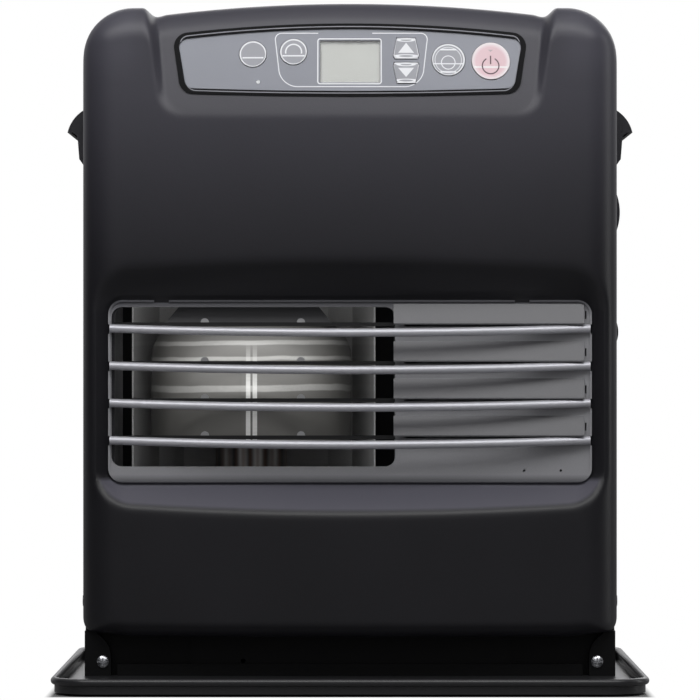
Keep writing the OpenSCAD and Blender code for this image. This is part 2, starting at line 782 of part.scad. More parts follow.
module console_fascia() color("#9297a0") {
    difference() {
        intersection() {
            along_y(front_y - 4, split_y) console_outline(bezel_ring + 0.2);
            console_layer(0.3, 0.3 + fascia_t);
        }
        for (k = [[timer_at, small_key_r], [save_at, small_key_r], [lock_at, lock_r], [power_at, power_r]])
            on_console(k[0][0], k[0][1]) translate([0, 0, -8]) cylinder(r = k[1] + key_gap, h = 16, $fn = fine);
        on_console(up_at[0], up_at[1]) translate([0, 0, -8]) linear_extrude(16) arrow_shape(1, key_gap);
        on_console(down_at[0], down_at[1]) translate([0, 0, -8]) linear_extrude(16) arrow_shape(-1, key_gap);
        on_console(led_at[0], led_at[1]) translate([0, 0, -8]) cylinder(r = 1.4, h = 16, $fn = fine);
        on_console(0, lcd_mid_z) translate([-lcd_w / 2, -lcd_h / 2, -8]) cube([lcd_w, lcd_h, 16]);
    }
}

module lcd_window() color([0.8, 0.81, 0.79, 0.6]) {
    on_console(0, lcd_mid_z) translate([-lcd_w / 2 + 0.2, -lcd_h / 2 + 0.2, -fascia_t - 0.3])
        cube([lcd_w - 0.4, lcd_h - 0.4, fascia_t - 0.4]);
}

board_back = 9;       // front face of the control board, behind the console face
module lcd_module() color("#c8c9c4") {
    on_console(0, lcd_mid_z) {
        translate([-lcd_w / 2 - 2, -lcd_h / 2 - 2, -board_back]) cube([lcd_w + 4, lcd_h + 4, board_back - fascia_t - 0.6]);
    }
}

module control_board() color("#2f6b45") {
    board_w = 2 * (power_at[0] + 14);
    on_console(0, lcd_mid_z) {
        translate([-board_w / 2, -20, -board_back - 1.6]) cube([board_w, 36, 1.6]);
    }
    // tact switches behind the keys
    for (k = [timer_at, save_at, up_at, down_at, lock_at, power_at]) {
        turn = asin(k[0] / lean_r(k[1]));
        on_console(0, lcd_mid_z) translate([k[0] - 3, (k[1] - lcd_mid_z) / cos(lean) - 3, -board_back - eps])
            cube([6, 6, switch_h(k[0])]);
    }
}

// The face bows back towards its ends and the board is flat, so the switches' height varies
function face_back(x) = bow_r - sqrt(bow_r * bow_r - x * x);
function switch_h(x) = board_back - face_back(x) * cos(lean) - key_deep - key_travel - 0.3;
key_deep = 3.4;       // from the console face to the end of a key's stem

module led_lens() color("#d8dde0") {
    on_console(led_at[0], led_at[1]) translate([0, 0, -5.5]) cylinder(r = 1.2, h = 5.3, $fn = fine);
}

// A round key: cap and the flange that keeps it behind the fascia
module round_key(at, r) {
    on_console(at[0], at[1]) {
        translate([0, 0, -fascia_t - 0.7]) cylinder(r = r, h = fascia_t + 1.2, $fn = fine);
        translate([0, 0, -key_deep]) cylinder(r = r + 1, h = key_deep - fascia_t - 2 * seam, $fn = fine);
    }
}

module arrow_key(at, wide) {
    on_console(at[0], at[1]) {
        translate([0, 0, -fascia_t - 0.7]) linear_extrude(fascia_t + 1.2) arrow_shape(wide, 0);
        translate([0, 0, -key_deep]) linear_extrude(key_deep - fascia_t - 2 * seam) arrow_shape(wide, 1);
    }
}

module key_timer() color("#a3a8b0") { round_key(timer_at, small_key_r); }
module key_save() color("#a3a8b0") { round_key(save_at, small_key_r); }
module key_up() color("#a3a8b0") { arrow_key(up_at, 1); }
module key_down() color("#a3a8b0") { arrow_key(down_at, -1); }
module key_lock() color("#a3a8b0") { round_key(lock_at, lock_r); }
module key_power() color("#e6d5d8") { round_key(power_at, power_r); }

module grille_frame() color("#77777c") {
    translate([0, 0, grille_z]) difference() {
        union() {
            along_y(frame_front_y, floor_y - 0.02) rounded(frame_w, frame_h, frame_r);
            // raised rim
            along_y(frame_front_y - 1, frame_front_y + eps) difference() {
                rounded(frame_w, frame_h, frame_r);
                rounded(frame_w - 2.4, frame_h - 2.4, frame_r - 1.2);
            }
        }
        // burner window
        translate([window_x0 + window_w / 2, 0, window_z0 + window_h / 2 - grille_z])
            along_y(frame_front_y - 2, floor_y + 2) rounded(window_w, window_h, 6.5);
        // outlet slots behind the louvre blades
        for (i = [0 : bar_count - 1])
            box([window_x1 + 6, frame_front_y - 2, bar_z + 1.6 - i * bar_pitch - grille_z],
                [frame_w / 2 - 6, floor_y + 2, bar_z + 5.2 - i * bar_pitch - grille_z]);
        for (x = [0.36, 0.436]) translate([x * frame_w, 0, 7.5 - frame_h / 2]) rod_y(0.8, frame_front_y - 2, floor_y + 2);
        // notches in the upper edge, and beside each bar's end
        for (x = [-0.39, 0.356]) translate([x * frame_w, frame_front_y, frame_h / 2]) box([-4.7, -2, -1.6], [4.7, 4, 1]);
        for (i = [0 : bar_count - 1], s = [0, 1]) mirror([s, 0, 0])
            translate([frame_w / 2, frame_front_y, bar_z - i * bar_pitch - grille_z]) box([-0.8, -2, -3], [1, 4, 3]);
        // slots that the blades' tabs sit in
        for (i = [0 : bar_count - 1])
            translate([blade_x1 + 1.2, frame_front_y, blade_low(i) - grille_z + 3.5]) box([-0.5, -2, 0], [0.5, 4, 5]);
    }
}

blade_x0 = window_x1 - 1;
blade_x1 = frame_w / 2 - 5;
function blade_low(i) = bar_z + bar_h / 2 + seam - i * bar_pitch;

// Blades that lean out of the frame, each with a small turned lip along its lower edge
module louvre_blades() color("#6c6c70") {
    for (i = [0 : bar_count - 1]) {
        translate([blade_x0, 0, blade_low(i)]) rotate([90, 0, 90]) linear_extrude(blade_x1 - blade_x0) polygon([
            [frame_front_y - 0.02, louvre_h], [frame_front_y - louvre_out, 0.8], [frame_front_y - louvre_out - 0.8, 0.8],
            [frame_front_y - louvre_out - 0.8, 0], [frame_front_y - louvre_out + 0.8, 0],
            [frame_front_y - 0.02, louvre_h - 1.6]]);
    }
}

// Bars: arcs in plan, tipped about their ends so that the middle hangs a little
bar_half = frame_w / 2 - 1;
bar_arc = (bar_half * bar_half + bar_bow * bar_bow) / (2 * bar_bow);
bar_turn = asin(bar_half / bar_arc);

module grille_bars() color("#b9b8c0") {
    for (i = [0 : bar_count - 1])
        translate([0, frame_front_y - 3.2, bar_z - i * bar_pitch]) rotate([atan(bar_sag / bar_bow), 0, 0])
            intersection() {
                translate([0, bar_arc - bar_bow, 0]) rotate([0, 0, -90 - bar_turn])
                    rotate_extrude(angle = 2 * bar_turn, $fn = huge) translate([bar_arc, 0]) {
                        translate([-1.6, 0]) intersection() {
                            circle(bar_h / 2, $fn = 32);
                            translate([0, -bar_h]) square([bar_h, 2 * bar_h]);
                        }
                        translate([-2.6, -bar_h / 2]) square([1 + eps, bar_h]);
                    }
                box([-bar_half, -60, -60], [bar_half, 60, 60]);
            }
}

slat_z = 4.3;         // how far a slat lies above its bar's end
module guard_slats() color("#2a2a2e") {
    for (i = [0 : bar_count - 1])
        box([chamber_x0, floor_y + 3, bar_z + slat_z - 2.4 - i * bar_pitch - (i > 0 ? 1 : 0)],
            [chamber_x1, floor_y + 5.5, bar_z + slat_z - i * bar_pitch - (i > 0 ? 1 : 0)]);
}

module slat_clips() color("#d0d0d2") {
    for (i = [0 : bar_count - 1], x = [burner_x - 27.8, burner_x + 33])
        intersection() {
            translate([x, 0, bar_z + slat_z - i * bar_pitch - (i > 0 ? 1 : 0)]) rod_y(2.6, floor_y + 3, floor_y + 5.5);
            box([x - 5, floor_y, bar_z + slat_z - i * bar_pitch - (i > 0 ? 1 : 0)], [x + 5, floor_y + 6, body_h]);
        }
}

// Warm-air duct: two walls that stand on the base and a roof with sloping haunches
module chamber_shroud() color("#8a8a8c") {
    difference() {
        along_y(chamber_y0, chamber_y1) difference() {
            shroud_outline(sheet);
            shroud_outline(0);
        }
        translate([0, pump_y, pipe_z]) rod_x(pipe_r + 0.6, chamber_x1 - 1, chamber_x1 + sheet + 1);
        // clear of the chassis pan's front wall
        box([-body_w, front_y, 0], [body_w, pan_front + sheet + seam, pan_wall_top + 1]);
    }
    // baffle that hangs from the roof in front of the drum
    along_y(baffle_y, baffle_y + sheet) polygon([
        [burner_x - 53, baffle_z], [burner_x + 53, baffle_z], [burner_x + 44, baffle_z + 11],
        [burner_x + 44, chamber_roof_h + eps], [burner_x - 44, chamber_roof_h + eps], [burner_x - 44, baffle_z + 11]]);
}

baffle_y = chamber_y0 + 2;
baffle_z = drum_top - 4;
module shroud_outline(grow) {
    x0 = chamber_x0 - grow;
    x1 = chamber_x1 + grow;
    t = chamber_roof_h + grow;
    k = 16 + grow / 2;
    polygon([[x0, pan_z], [x1, pan_z], [x1, t - k], [x1 - k, t], [x0 + k, t], [x0, t - k]]);
}

module chamber_floor() color("#9a9a9a") {
    difference() {
        box([chamber_x0 + seam, chamber_y0, chamber_floor_h], [chamber_x1 - seam, chamber_y1, chamber_floor_h + sheet]);
        translate([burner_x, burner_y, chamber_floor_h - 1]) cylinder(r = neck_r - 2, h = 5, $fn = fine);
    }
}

// Polished sheet behind the drum, with turned-in side wings
wing_gap = 11.5;
wing_spare = 3;
module reflector() color("#c4c2bd") {
    x0 = burner_x - drum_r - wing_gap;
    x1 = burner_x + drum_r + wing_gap + wing_spare;
    y0 = burner_y + 0.6 * drum_r;
    z0 = chamber_floor_h + sheet;
    z1 = chamber_roof_h - 18;
    translate([0, 0, z0]) linear_extrude(z1 - z0) polygon([
        [x0, y0 - 40], [x0 + 14, y0 + 18], [x0 + 30, y0 + 30], [x1 - 30, y0 + 30], [x1 - 14, y0 + 18], [x1, y0 - 40],
        [x1 + 1, y0 - 40], [x1 - 13, y0 + 18.6], [x1 - 29.6, y0 + 31], [x0 + 29.6, y0 + 31], [x0 + 13, y0 + 18.6],
        [x0 - 1, y0 - 40]]);
}

module burner_drum() color("#b5b2aa") {
    translate([burner_x, burner_y, 0]) {
        rotate_extrude($fn = fine) difference() {
            drum_profile(0);
            drum_profile(1.2);
        }
        // lapped seam down the front
        intersection() {
            translate([0, 0, drum_low]) difference() {
                cylinder(r = drum_r + 0.6, h = drum_top - drum_low - 28, $fn = fine);
                translate([0, 0, -1]) cylinder(r = drum_r - 0.6, h = drum_top, $fn = fine);
            }
            box([-5, -drum_r - 2, drum_low], [3, 0, drum_top]);
        }
    }
}

module drum_profile(inset) {
    r = drum_r - inset;
    bend = 26;
    translate([0, drum_low + inset]) square([r, drum_top - bend - drum_low - inset]);
    translate([0, drum_low + inset]) square([r - bend, drum_top - drum_low - 2 * inset]);
    intersection() {
        translate([r - bend, drum_top - inset - bend]) circle(bend, $fn = fine);
        square([drum_r, drum_top]);
    }
}

module burner_neck() color("#a9a59c") {
    translate([burner_x, burner_y, chamber_floor_h + sheet]) rotate_extrude($fn = fine) {
        difference() {
            union() {
                square([neck_r, drum_low - chamber_floor_h - sheet]);
                square([neck_r + 8, 2]);
            }
            translate([0, -1]) square([neck_r - 1.5, drum_low]);
        }
    }
}

pot_r = 38;
pot_h = 60;
module burner_pot() color("#7d7a74") {
    translate([burner_x, burner_y, chamber_floor_h - pot_h]) rotate_extrude($fn = fine) {
        difference() {
            union() {
                square([pot_r, pot_h]);
                translate([0, pot_h - 3]) square([pot_r + 6, 3]);
            }
            translate([0, 3]) square([pot_r - 2, pot_h]);
        }
    }
}

module igniter() color("#e6e2d6") {
    translate([burner_x + 14, burner_y - 10, chamber_floor_h - pot_h + 3]) {
        cylinder(r = 2.4, h = 30, $fn = 24);
        translate([0, 0, 30]) cylinder(r = 0.8, h = 14, $fn = 24);
    }
}

module flame_sensor() color("#d8d4c6") {
    translate([burner_x - 14, burner_y - 10, chamber_floor_h - pot_h + 3]) {
        cylinder(r = 2.4, h = 24, $fn = 24);
        translate([0, 0, 24]) cylinder(r = 0.9, h = 24, $fn = 24);
    }
}

// Combustion-air blower beside the burner pot
blower_x = chamber_x0 + wheel_r + 10;
blower_y = burner_y - 20;
blower_z = pan_z + 4;
blower_h = 30;
duct_y = blower_y + wheel_r - 3;
case_r = wheel_r + 4;
module blower_housing() color("#8f9194") {
    difference() {
        union() {
            translate([blower_x, blower_y, blower_z]) cylinder(r = case_r + 2, h = blower_h, $fn = fine);
            box([blower_x, duct_y - 9, blower_z + 6], [burner_x + 9, duct_y + 9, blower_z + 26]);
            box([burner_x - 9, duct_y - 9, blower_z + 6], [burner_x + 9, duct_y + 9, chamber_floor_h - pot_h - 0.02]);
            for (a = [45, 135, 225, 315]) translate([blower_x, blower_y, pan_z]) rotate([0, 0, a])
                translate([case_r - 4, 0, 0]) cylinder(r = 3, h = 5, $fn = 24);
        }
        translate([blower_x, blower_y, blower_z + 2]) cylinder(r = case_r, h = blower_h - 4, $fn = fine);
        translate([blower_x, blower_y, blower_z - 1]) cylinder(r = wheel_r * 0.6, h = 4, $fn = fine);
        translate([blower_x, blower_y, blower_z + blower_h - 3]) cylinder(r = 4, h = 6, $fn = fine);
        box([blower_x + 10, duct_y - 7, blower_z + 8], [burner_x + 7, duct_y + 7, blower_z + 24]);
        box([burner_x - 7, duct_y - 7, blower_z + 8], [burner_x + 7, duct_y + 7, chamber_floor_h]);
    }
}

module blower_wheel() color("#b8bcc0") {
    low = blower_z + 4;
    high = blower_z + blower_h - 4;
    translate([blower_x, blower_y, 0]) {
        translate([0, 0, high - 1.5]) cylinder(r = wheel_r, h = 1.5, $fn = fine);
        translate([0, 0, low]) difference() {
            cylinder(r = wheel_r, h = 1.5, $fn = fine);
            translate([0, 0, -1]) cylinder(r = wheel_r - 6, h = 4, $fn = fine);
        }
        for (i = [0 : 23]) rotate([0, 0, 15 * i]) translate([wheel_r - 3, 0, low]) rotate([0, 0, 35])
            translate([-2.6, -0.4, 0]) cube([5.2, 0.8, high - low]);
        // shaft up into the motor
        translate([0, 0, high - 6]) cylinder(r = 2, h = 22, $fn = fine);
    }
}

module blower_motor() color("#55585c") {
    translate([blower_x, blower_y, blower_z + blower_h]) difference() {
        union() {
            cylinder(r = 17, h = 21, $fn = fine);
            cylinder(r = 22, h = 2, $fn = fine);
        }
        translate([0, 0, -1]) cylinder(r = 2 + run_gap, h = 18, $fn = fine);
    }
}

hub_r = 20;
blade_w = 44;
fan_shaft_r = 3;
module fan_motor() color("#4c4e52") {
    translate([fan_x, 0, fan_z]) difference() {
        union() {
            rod_y(24, fan_y + 14, back_y + guard_d - 3);
        }
        rod_y(fan_shaft_r + run_gap, fan_y, back_y);
    }
}

module fan_blade() color("#c3c7cb") {
    translate([fan_x, fan_y, fan_z]) {
        rod_y(hub_r, -6, 8);
        rod_y(fan_shaft_r, 7, 25);
        for (i = [0 : fan_blades - 1]) rotate([0, i * 360 / fan_blades, 0]) intersection() {
            difference() {
                rod_y(fan_r, -10, 10);
                rod_y(hub_r - 2, -11, 11);
            }
            rotate([28, 0, 0]) translate([hub_r / 2, -0.8, -blade_w / 2]) cube([fan_r, 1.6, blade_w]);
        }
    }
}

guard_w = 2 * fan_r + 24;
filter_w = guard_w - 14;
module fan_guard() color("#2b2c30") {
    rail_y = back_y + guard_d;
    rail_x = filter_w / 2 + 0.4;
    translate([fan_x, 0, fan_z]) for (s = [0, 1]) mirror([s, 0, 0]) {
        box([rail_x, rail_y - 1, 6 - filter_w / 2], [rail_x + 2, rail_y + 5.4, filter_w / 2 - 6]);
        box([rail_x - 3, rail_y + 3.7, 6 - filter_w / 2], [rail_x + 2, rail_y + 5.4, filter_w / 2 - 6]);
    }
    translate([fan_x, 0, fan_z]) box([-30, rail_y - 1, -filter_w / 2 - 2.4], [30, rail_y + 3, -filter_w / 2 - 0.4]);
    plate_w = guard_w - 5;
    translate([fan_x, 0, fan_z]) {
        difference() {
            along_y(back_y, back_y + guard_d) rounded(guard_w, guard_w, 18);
            along_y(back_y - 1, back_y + guard_d + 1) rounded(plate_w, plate_w, 15.5);
        }
        // slotted plate that clips into the rim
        difference() {
            along_y(back_y + guard_d - 3, back_y + guard_d) rounded(plate_w - 0.04, plate_w - 0.04, 15.48);
            for (s = [0, 1]) mirror([0, 0, s]) for (i = [0 : 16])
                translate([(i - 8) * (plate_w - 16) / 17, back_y, 0]) cube_slot(5.2, guard_d + 1, 22, plate_w / 2 - 7);
            for (s = [0, 1]) mirror([s, 0, 0]) for (i = [-2 : 2])
                box([30, back_y, 9 * i - 2.4], [plate_w / 2 - 7, back_y + guard_d + 1, 9 * i + 2.4]);
        }
    }
}

// Upright slot of width w from z0 to z1
module cube_slot(w, depth, z0, z1) {
    box([-w / 2, 0, z0], [w / 2, depth, z1]);
}

module fan_filter() color("#5a5c60") {
    y0 = back_y + guard_d + seam;
    translate([fan_x, 0, fan_z]) {
        difference() {
            along_y(y0, y0 + 3) rounded(filter_w, filter_w, 10);
            along_y(y0 - 1, y0 + 4) rounded(filter_w - 12, filter_w - 12, 6);
        }
        for (i = [1 : 7]) {
            at = -filter_w / 2 + i * filter_w / 8;
            box([at - 0.8, y0 + 0.4, -filter_w / 2 + 5], [at + 0.8, y0 + 2.4, filter_w / 2 - 5]);
            box([-filter_w / 2 + 5, y0 + 0.4, at - 0.8], [filter_w / 2 - 5, y0 + 2.4, at + 0.8]);
        }
        // pull tab
        box([-15, y0, filter_w / 2 - 1], [15, y0 + 3, filter_w / 2 + 8]);
    }
}

module fuel_tank() color("#8d9296") {
    neck = 18;
    translate([tank_x, tank_y, 0]) difference() {
        union() {
            difference() {
                translate([0, 0, tank_z]) linear_extrude(tank_h) rounded(tank_w, tank_d, 16);
                // pressed ribs round the walls
                for (i = [0 : 3]) translate([0, 0, tank_z + tank_h * (0.18 + 0.2 * i)]) linear_extrude(8) difference() {
                    square([tank_w + 10, tank_d + 10], center = true);
                    rounded(tank_w - 2, tank_d - 2, 15);
                }
            }
            translate([0, 0, tank_z - 8]) cylinder(r = neck, h = 10, $fn = fine);
            // ears that the bail turns in
            for (s = [-1, 1]) difference() {
                box([s * bail_half - 1.5, -6, tank_top - eps], [s * bail_half + 1.5, 6, tank_top + 9]);
                translate([s * bail_half, 0, tank_top + 5]) rod_x(bail_wire_r + run_gap, -3, 3);
            }
        }
        translate([0, 0, tank_z + tank_wall]) linear_extrude(tank_h - 2 * tank_wall)
            rounded(tank_w - 2 - 2 * tank_wall, tank_d - 2 - 2 * tank_wall, 15 - tank_wall);
        translate([0, 0, tank_z - 9]) cylinder(r = neck - 1.5, h = 12, $fn = fine);
    }
}

module tank_cap() color("#c9b25a") {
    translate([tank_x, tank_y, tank_z - 26]) difference() {
        union() {
            cylinder(r = 21, h = 25, $fn = fine);
            for (i = [0 : 23]) rotate([0, 0, 15 * i]) translate([20.6, -0.8, 2]) cube([1.4, 1.6, 22]);
        }
        translate([0, 0, 8]) cylinder(r = 18.05, h = 20, $fn = fine);
        translate([0, 0, -1]) cylinder(r = 3, h = 4, $fn = fine);
    }
}

bail_reach = 0.31 * tank_d;
bail_half = tank_w / 2 - 8;
module tank_handle() color("#9da1a5") {
    bend = 9;
    half = bail_half - 4.2;
    translate([tank_x, tank_y, tank_top + 5]) {
        for (s = [-1, 1]) {
            translate([s * half, 0, 0]) sphere(bail_wire_r, $fn = 32);
            translate([s * half, 0, 0]) rod_x(bail_wire_r, s > 0 ? 0 : -5.7, s > 0 ? 5.7 : 0);
            translate([s * half, 0, 0]) rod_y(bail_wire_r, -bail_reach + bend, 0);
            translate([s * (half - bend), -bail_reach + bend, 0]) rotate([0, 0, s > 0 ? -90 : 180])
                rotate_extrude(angle = 90, $fn = fine) translate([bend, 0]) circle(bail_wire_r, $fn = 24);
        }
        translate([0, -bail_reach, 0]) rod_x(bail_wire_r, -half + bend, half - bend);
        translate([0, -bail_reach, 0]) rod_x(bail_wire_r + 2.2, -20, 20);
    }
}

module sump_plan(inset) {
    translate([0, 12]) rounded(tank_w - 2 * inset, tank_d - 10 - 2 * inset, 14 - inset);
}

sump_top = tank_z - 8;
sump_low = pan_z + 30;
module sump_tank() color("#7c8084") {
    translate([tank_x, tank_y, 0]) difference() {
        union() {
            translate([0, 0, sump_low]) linear_extrude(sump_top - sump_low) sump_plan(0);
            difference() {
                translate([0, 0, sump_top - 1]) cylinder(r = 40, h = tank_z - sump_top + 1, $fn = fine);
                translate([0, 0, sump_top - 2]) cylinder(r = 36, h = 20, $fn = fine);
            }
            for (x = [-1, 1], y = [-1, 1]) translate([x * (tank_w / 2 - 14), 12 + y * (tank_d / 2 - 20), pan_z])
                cylinder(r = 5, h = sump_low - pan_z + 1, $fn = 24);
        }
        translate([0, 0, sump_low + 1.5]) linear_extrude(sump_top - sump_low - 3) sump_plan(1.5);
        translate([0, 0, sump_top - 4]) cylinder(r = strainer_r + 2, h = 20, $fn = fine);
    }
}

strainer_r = 26;
strainer_rim = 7;
module strainer() color("#c8ccd0") {
    translate([tank_x, tank_y, sump_low + 6]) difference() {
        union() {
            cylinder(r = strainer_r, h = sump_top - sump_low - 6 + 1.5, $fn = fine);
            translate([0, 0, sump_top - sump_low - 6]) cylinder(r = strainer_r + strainer_rim, h = 1.5, $fn = fine);
        }
        translate([0, 0, 1]) cylinder(r = strainer_r - 1, h = 60, $fn = fine);
        for (a = [0 : 30 : 330]) rotate([0, 0, a]) translate([strainer_r - 6, -2, 6]) cube([12, 4, 30]);
    }
}

pump_x = tank_x - 34;
pump_y = front_y + 44;
pump_r = 11;
module fuel_pump() color("#a7abae") {
    translate([pump_x, pump_y, pan_z]) {
        cylinder(r = pump_r - 1, h = 3, $fn = fine);
        cylinder(r = pump_r - 4, h = pump_h - 12, $fn = fine);
        translate([0, 0, 12]) cylinder(r = pump_r, h = pump_h / 2, $fn = fine);
        translate([0, 0, pump_h - 12]) cylinder(r = 3, h = 12, $fn = fine);
    }
}

// Pipe from the pump across to the burner pot
pipe_r = 2;
pipe_z = chamber_floor_h - pot_h + 6.7;
pump_h = 52;
module fuel_pipe() color("#c08a56") {
    rise = pan_z + pump_h + 0.02;
    pot_y = burner_y - 14;
    end_x = burner_x + sqrt(pot_r * pot_r - 12 * 12) + 0.3;
    bend_x = end_x + 12;
    translate([pump_x, pump_y, rise]) cylinder(r = pipe_r, h = pipe_z - rise, $fn = 24);
    translate([0, pump_y, pipe_z]) rod_x(pipe_r, bend_x, pump_x);
    translate([bend_x, 0, pipe_z]) rod_y(pipe_r, pump_y, pot_y);
    translate([0, pot_y, pipe_z]) rod_x(pipe_r, end_x, bend_x);
    for (at = [[pump_x, pump_y], [bend_x, pump_y], [bend_x, pot_y]])
        translate([at[0], at[1], pipe_z]) sphere(pipe_r, $fn = 24);
}

shelf_z = chamber_roof_h + 30;
shelf_x0 = chamber_x0 + 6;
shelf_x1 = chamber_x1 - 6;
shelf_y0 = chamber_y0 + 23;
shelf_y1 = chamber_y1 - 9;
module electronics_shelf() color("#9b9da0") {
    box([shelf_x0, shelf_y0, shelf_z], [shelf_x1, shelf_y1, shelf_z + sheet]);
    for (x = [shelf_x0 + 20, shelf_x1 - 22], y = [shelf_y0 + 4, shelf_y1 - 10])
        box([x, y, chamber_roof_h + sheet], [x + 2, y + 6, shelf_z + eps]);
}

board_x0 = shelf_x0 + 8;
board_x1 = board_x0 + 0.575 * chamber_w;
board_lift = 6;        // height of its pillars
board_t = 1.6;
module power_board() color("#3a7048") {
    y0 = shelf_y0 + 8;
    y1 = shelf_y1 - 8;
    z = shelf_z + sheet + board_lift;
    top = z + board_t - 0.1;
    wide = (board_x1 - board_x0) / 100;
    box([board_x0, y0, z], [board_x1, y1, z + board_t]);
    for (x = [board_x0 + 6, board_x1 - 6], y = [y0 + 6, y1 - 6])
        translate([x, y, shelf_z + sheet]) cylinder(r = 3, h = board_lift + eps, $fn = 24);
    // capacitors, relays, heat sink and connectors
    for (i = [0 : 3]) translate([board_x0 + (18 + 16 * i) * wide, y1 - 22, top])
        cylinder(r = 6, h = 16 + 3 * (i % 2), $fn = 24);
    box([board_x0 + 12 * wide, y0 + 8, top], [board_x0 + 40 * wide, y0 + 32, top + 15.5]);
    box([board_x0 + 50 * wide, y0 + 8, top], [board_x0 + 70 * wide, y0 + 36, top + 10.5]);
    for (i = [0 : 4]) box([board_x0 + 80 * wide, y0 + 8 + 12 * i, top], [board_x0 + 90 * wide, y0 + 16 + 12 * i, top + 7.5]);
}

core_w = 0.188 * chamber_w;
core_d = 50;
core_h = 24;
module transformer() color("#8c6a3c") {
    x0 = board_x1 + 8;
    y0 = shelf_y0 + 20;
    z = shelf_z + sheet;
    box([x0, y0, z], [x0 + core_w, y0 + core_d, z + 6]);
    box([x0 + 3, y0 + 6, z + 6], [x0 + core_w - 3, y0 + core_d - 6, z + 6 + core_h]);
    box([x0 - 2, y0 + 14, z + 11], [x0 + core_w + 2, y0 + core_d - 14, z + 1 + core_h]);
}

module cord_gland() color("#151517") {
    translate([inlet_x, 0, inlet_z]) difference() {
        union() {
            rod_y(8.6, back_y - 6, back_y + 4);
            rod_y(11, back_y + 0.02, back_y + 3);
            rod_y(6, back_y + 3, back_y + 12);
        }
        rod_y(3.5, back_y - 8, back_y + 14);
    }
}

module room_sensor() color("#e2e2e0") {
    translate([fan_x + guard_w / 2 + 14, 0, fan_z - 40]) {
        box([-6, back_y, -10], [6, back_y + 8, 10]);
        translate([0, 0, 0]) rod_y(2.5, back_y + 8, back_y + 13);
    }
}

module tilt_switch() color("#3c4f86") {
    translate([burner_x + 12, chamber_y1 + 17, pan_z]) {
        box([-14, -10, 0], [14, 10, 22]);
        translate([0, 0, 22]) cylinder(r = 6, h = 4, $fn = fine);
    }
}

module overheat_thermostat() color("#d9d4c8") {
    translate([burner_x + 30, 20, chamber_roof_h + sheet]) {
        cylinder(r = 11, h = 2, $fn = fine);
        cylinder(r = 8, h = 10, $fn = fine);
    }
}

module front_screws() color("#c9ccd0") {
    for (s = [-1, 1]) translate([s * screw_x, 0, screw_z]) difference() {
        union() {
            intersection() {
                translate([0, leg_y + 3.4, 0]) sphere(5.6, $fn = fine);
                rod_y(3.8, leg_y - 3, leg_y - 0.02);
            }
            rod_y(2, leg_y - 1, leg_y + 9);
        }
        box([-0.5, leg_y - 4, -2.4], [0.5, leg_y - 1.2, 2.4]);
        box([-2.4, leg_y - 4, -0.5], [2.4, leg_y - 1.2, 0.5]);
    }
}

module case_screws() color("#7f8286") {
    for (s = [-1, 1], y = case_screw_y) translate([0, y, skirt_h + 8]) mirror([s > 0 ? 0 : 1, 0, 0]) {
        rod_x(3.4, body_w / 2 + 0.02, body_w / 2 + 2);
        rod_x(1.7, body_w / 2 - 6, body_w / 2 + 1);
    }
}

spacer_r = 37;
spacer_out = 13.9;     // reach beyond the side
// Rounded lugs along the right rear edge that keep the heater off the wall
module rear_spacers() color("#4a4b50") {
    for (k = [[0.71 * body_h, spacer_r, spacer_out], [0.5225 * body_h, spacer_r / 2, spacer_out - 1]])
        intersection() {
            translate([body_w / 2 + k[2] - k[1], 0, k[0]]) rod_y(k[1], back_y + 0.02, back_y + 10);
            box([body_w / 2 - 24, back_y, k[0] - k[1]], [body_w, back_y + 12, k[0] + k[1]]);
        }
}

base_tray();
rubber_feet();
base_frame();
front_panel();
side_panel_left();
side_panel_right();
back_panel();
top_cover();
hatch_lid();
left_grip();
right_grip();
console_bezel();
console_fascia();
lcd_window();
lcd_module();
control_board();
led_lens();
key_timer();
key_save();
key_up();
key_down();
key_lock();
key_power();
grille_frame();
louvre_blades();
grille_bars();
guard_slats();
slat_clips();
chamber_shroud();
chamber_floor();
reflector();
burner_drum();
burner_neck();
burner_pot();
igniter();
flame_sensor();
blower_housing();
blower_wheel();
blower_motor();
fan_motor();
fan_blade();
fan_guard();
fan_filter();
fuel_tank();
tank_cap();
tank_handle();
sump_tank();
strainer();
fuel_pump();
fuel_pipe();
electronics_shelf();
power_board();
transformer();
cord_gland();
room_sensor();
tilt_switch();
overheat_thermostat();
front_screws();
case_screws();
rear_spacers();
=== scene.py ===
"""Looks of the paraffin heater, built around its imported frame."""

import functools
import math

import bpy
import numpy as np
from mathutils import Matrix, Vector


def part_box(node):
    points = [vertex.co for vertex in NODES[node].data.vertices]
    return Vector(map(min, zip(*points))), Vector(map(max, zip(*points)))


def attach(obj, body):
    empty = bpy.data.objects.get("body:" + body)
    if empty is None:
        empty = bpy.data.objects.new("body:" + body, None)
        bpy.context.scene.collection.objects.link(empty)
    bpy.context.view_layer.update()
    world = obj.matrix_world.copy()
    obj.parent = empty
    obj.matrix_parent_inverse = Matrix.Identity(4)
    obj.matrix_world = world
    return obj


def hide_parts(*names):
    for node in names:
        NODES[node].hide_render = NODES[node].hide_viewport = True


bl_info = {
    "name": "Paraffin heater looks",
    "version": (1, 0, 0),
    "blender": (4, 5, 0),
    "location": "View3D > Sidebar > Heater",
    "description": "Finishes of the heater's sub-parts and the studio around it",
    "category": "Object",
}

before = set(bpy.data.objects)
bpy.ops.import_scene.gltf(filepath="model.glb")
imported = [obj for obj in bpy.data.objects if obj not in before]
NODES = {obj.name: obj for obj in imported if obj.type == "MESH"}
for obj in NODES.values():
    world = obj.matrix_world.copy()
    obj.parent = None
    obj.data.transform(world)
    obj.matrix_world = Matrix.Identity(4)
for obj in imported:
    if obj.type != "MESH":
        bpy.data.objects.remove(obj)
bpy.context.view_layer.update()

SHARP_ANGLE = math.radians(42.0)
CONSOLE_LEAN = 12.0
CONSOLE_TILT = math.cos(math.radians(CONSOLE_LEAN))


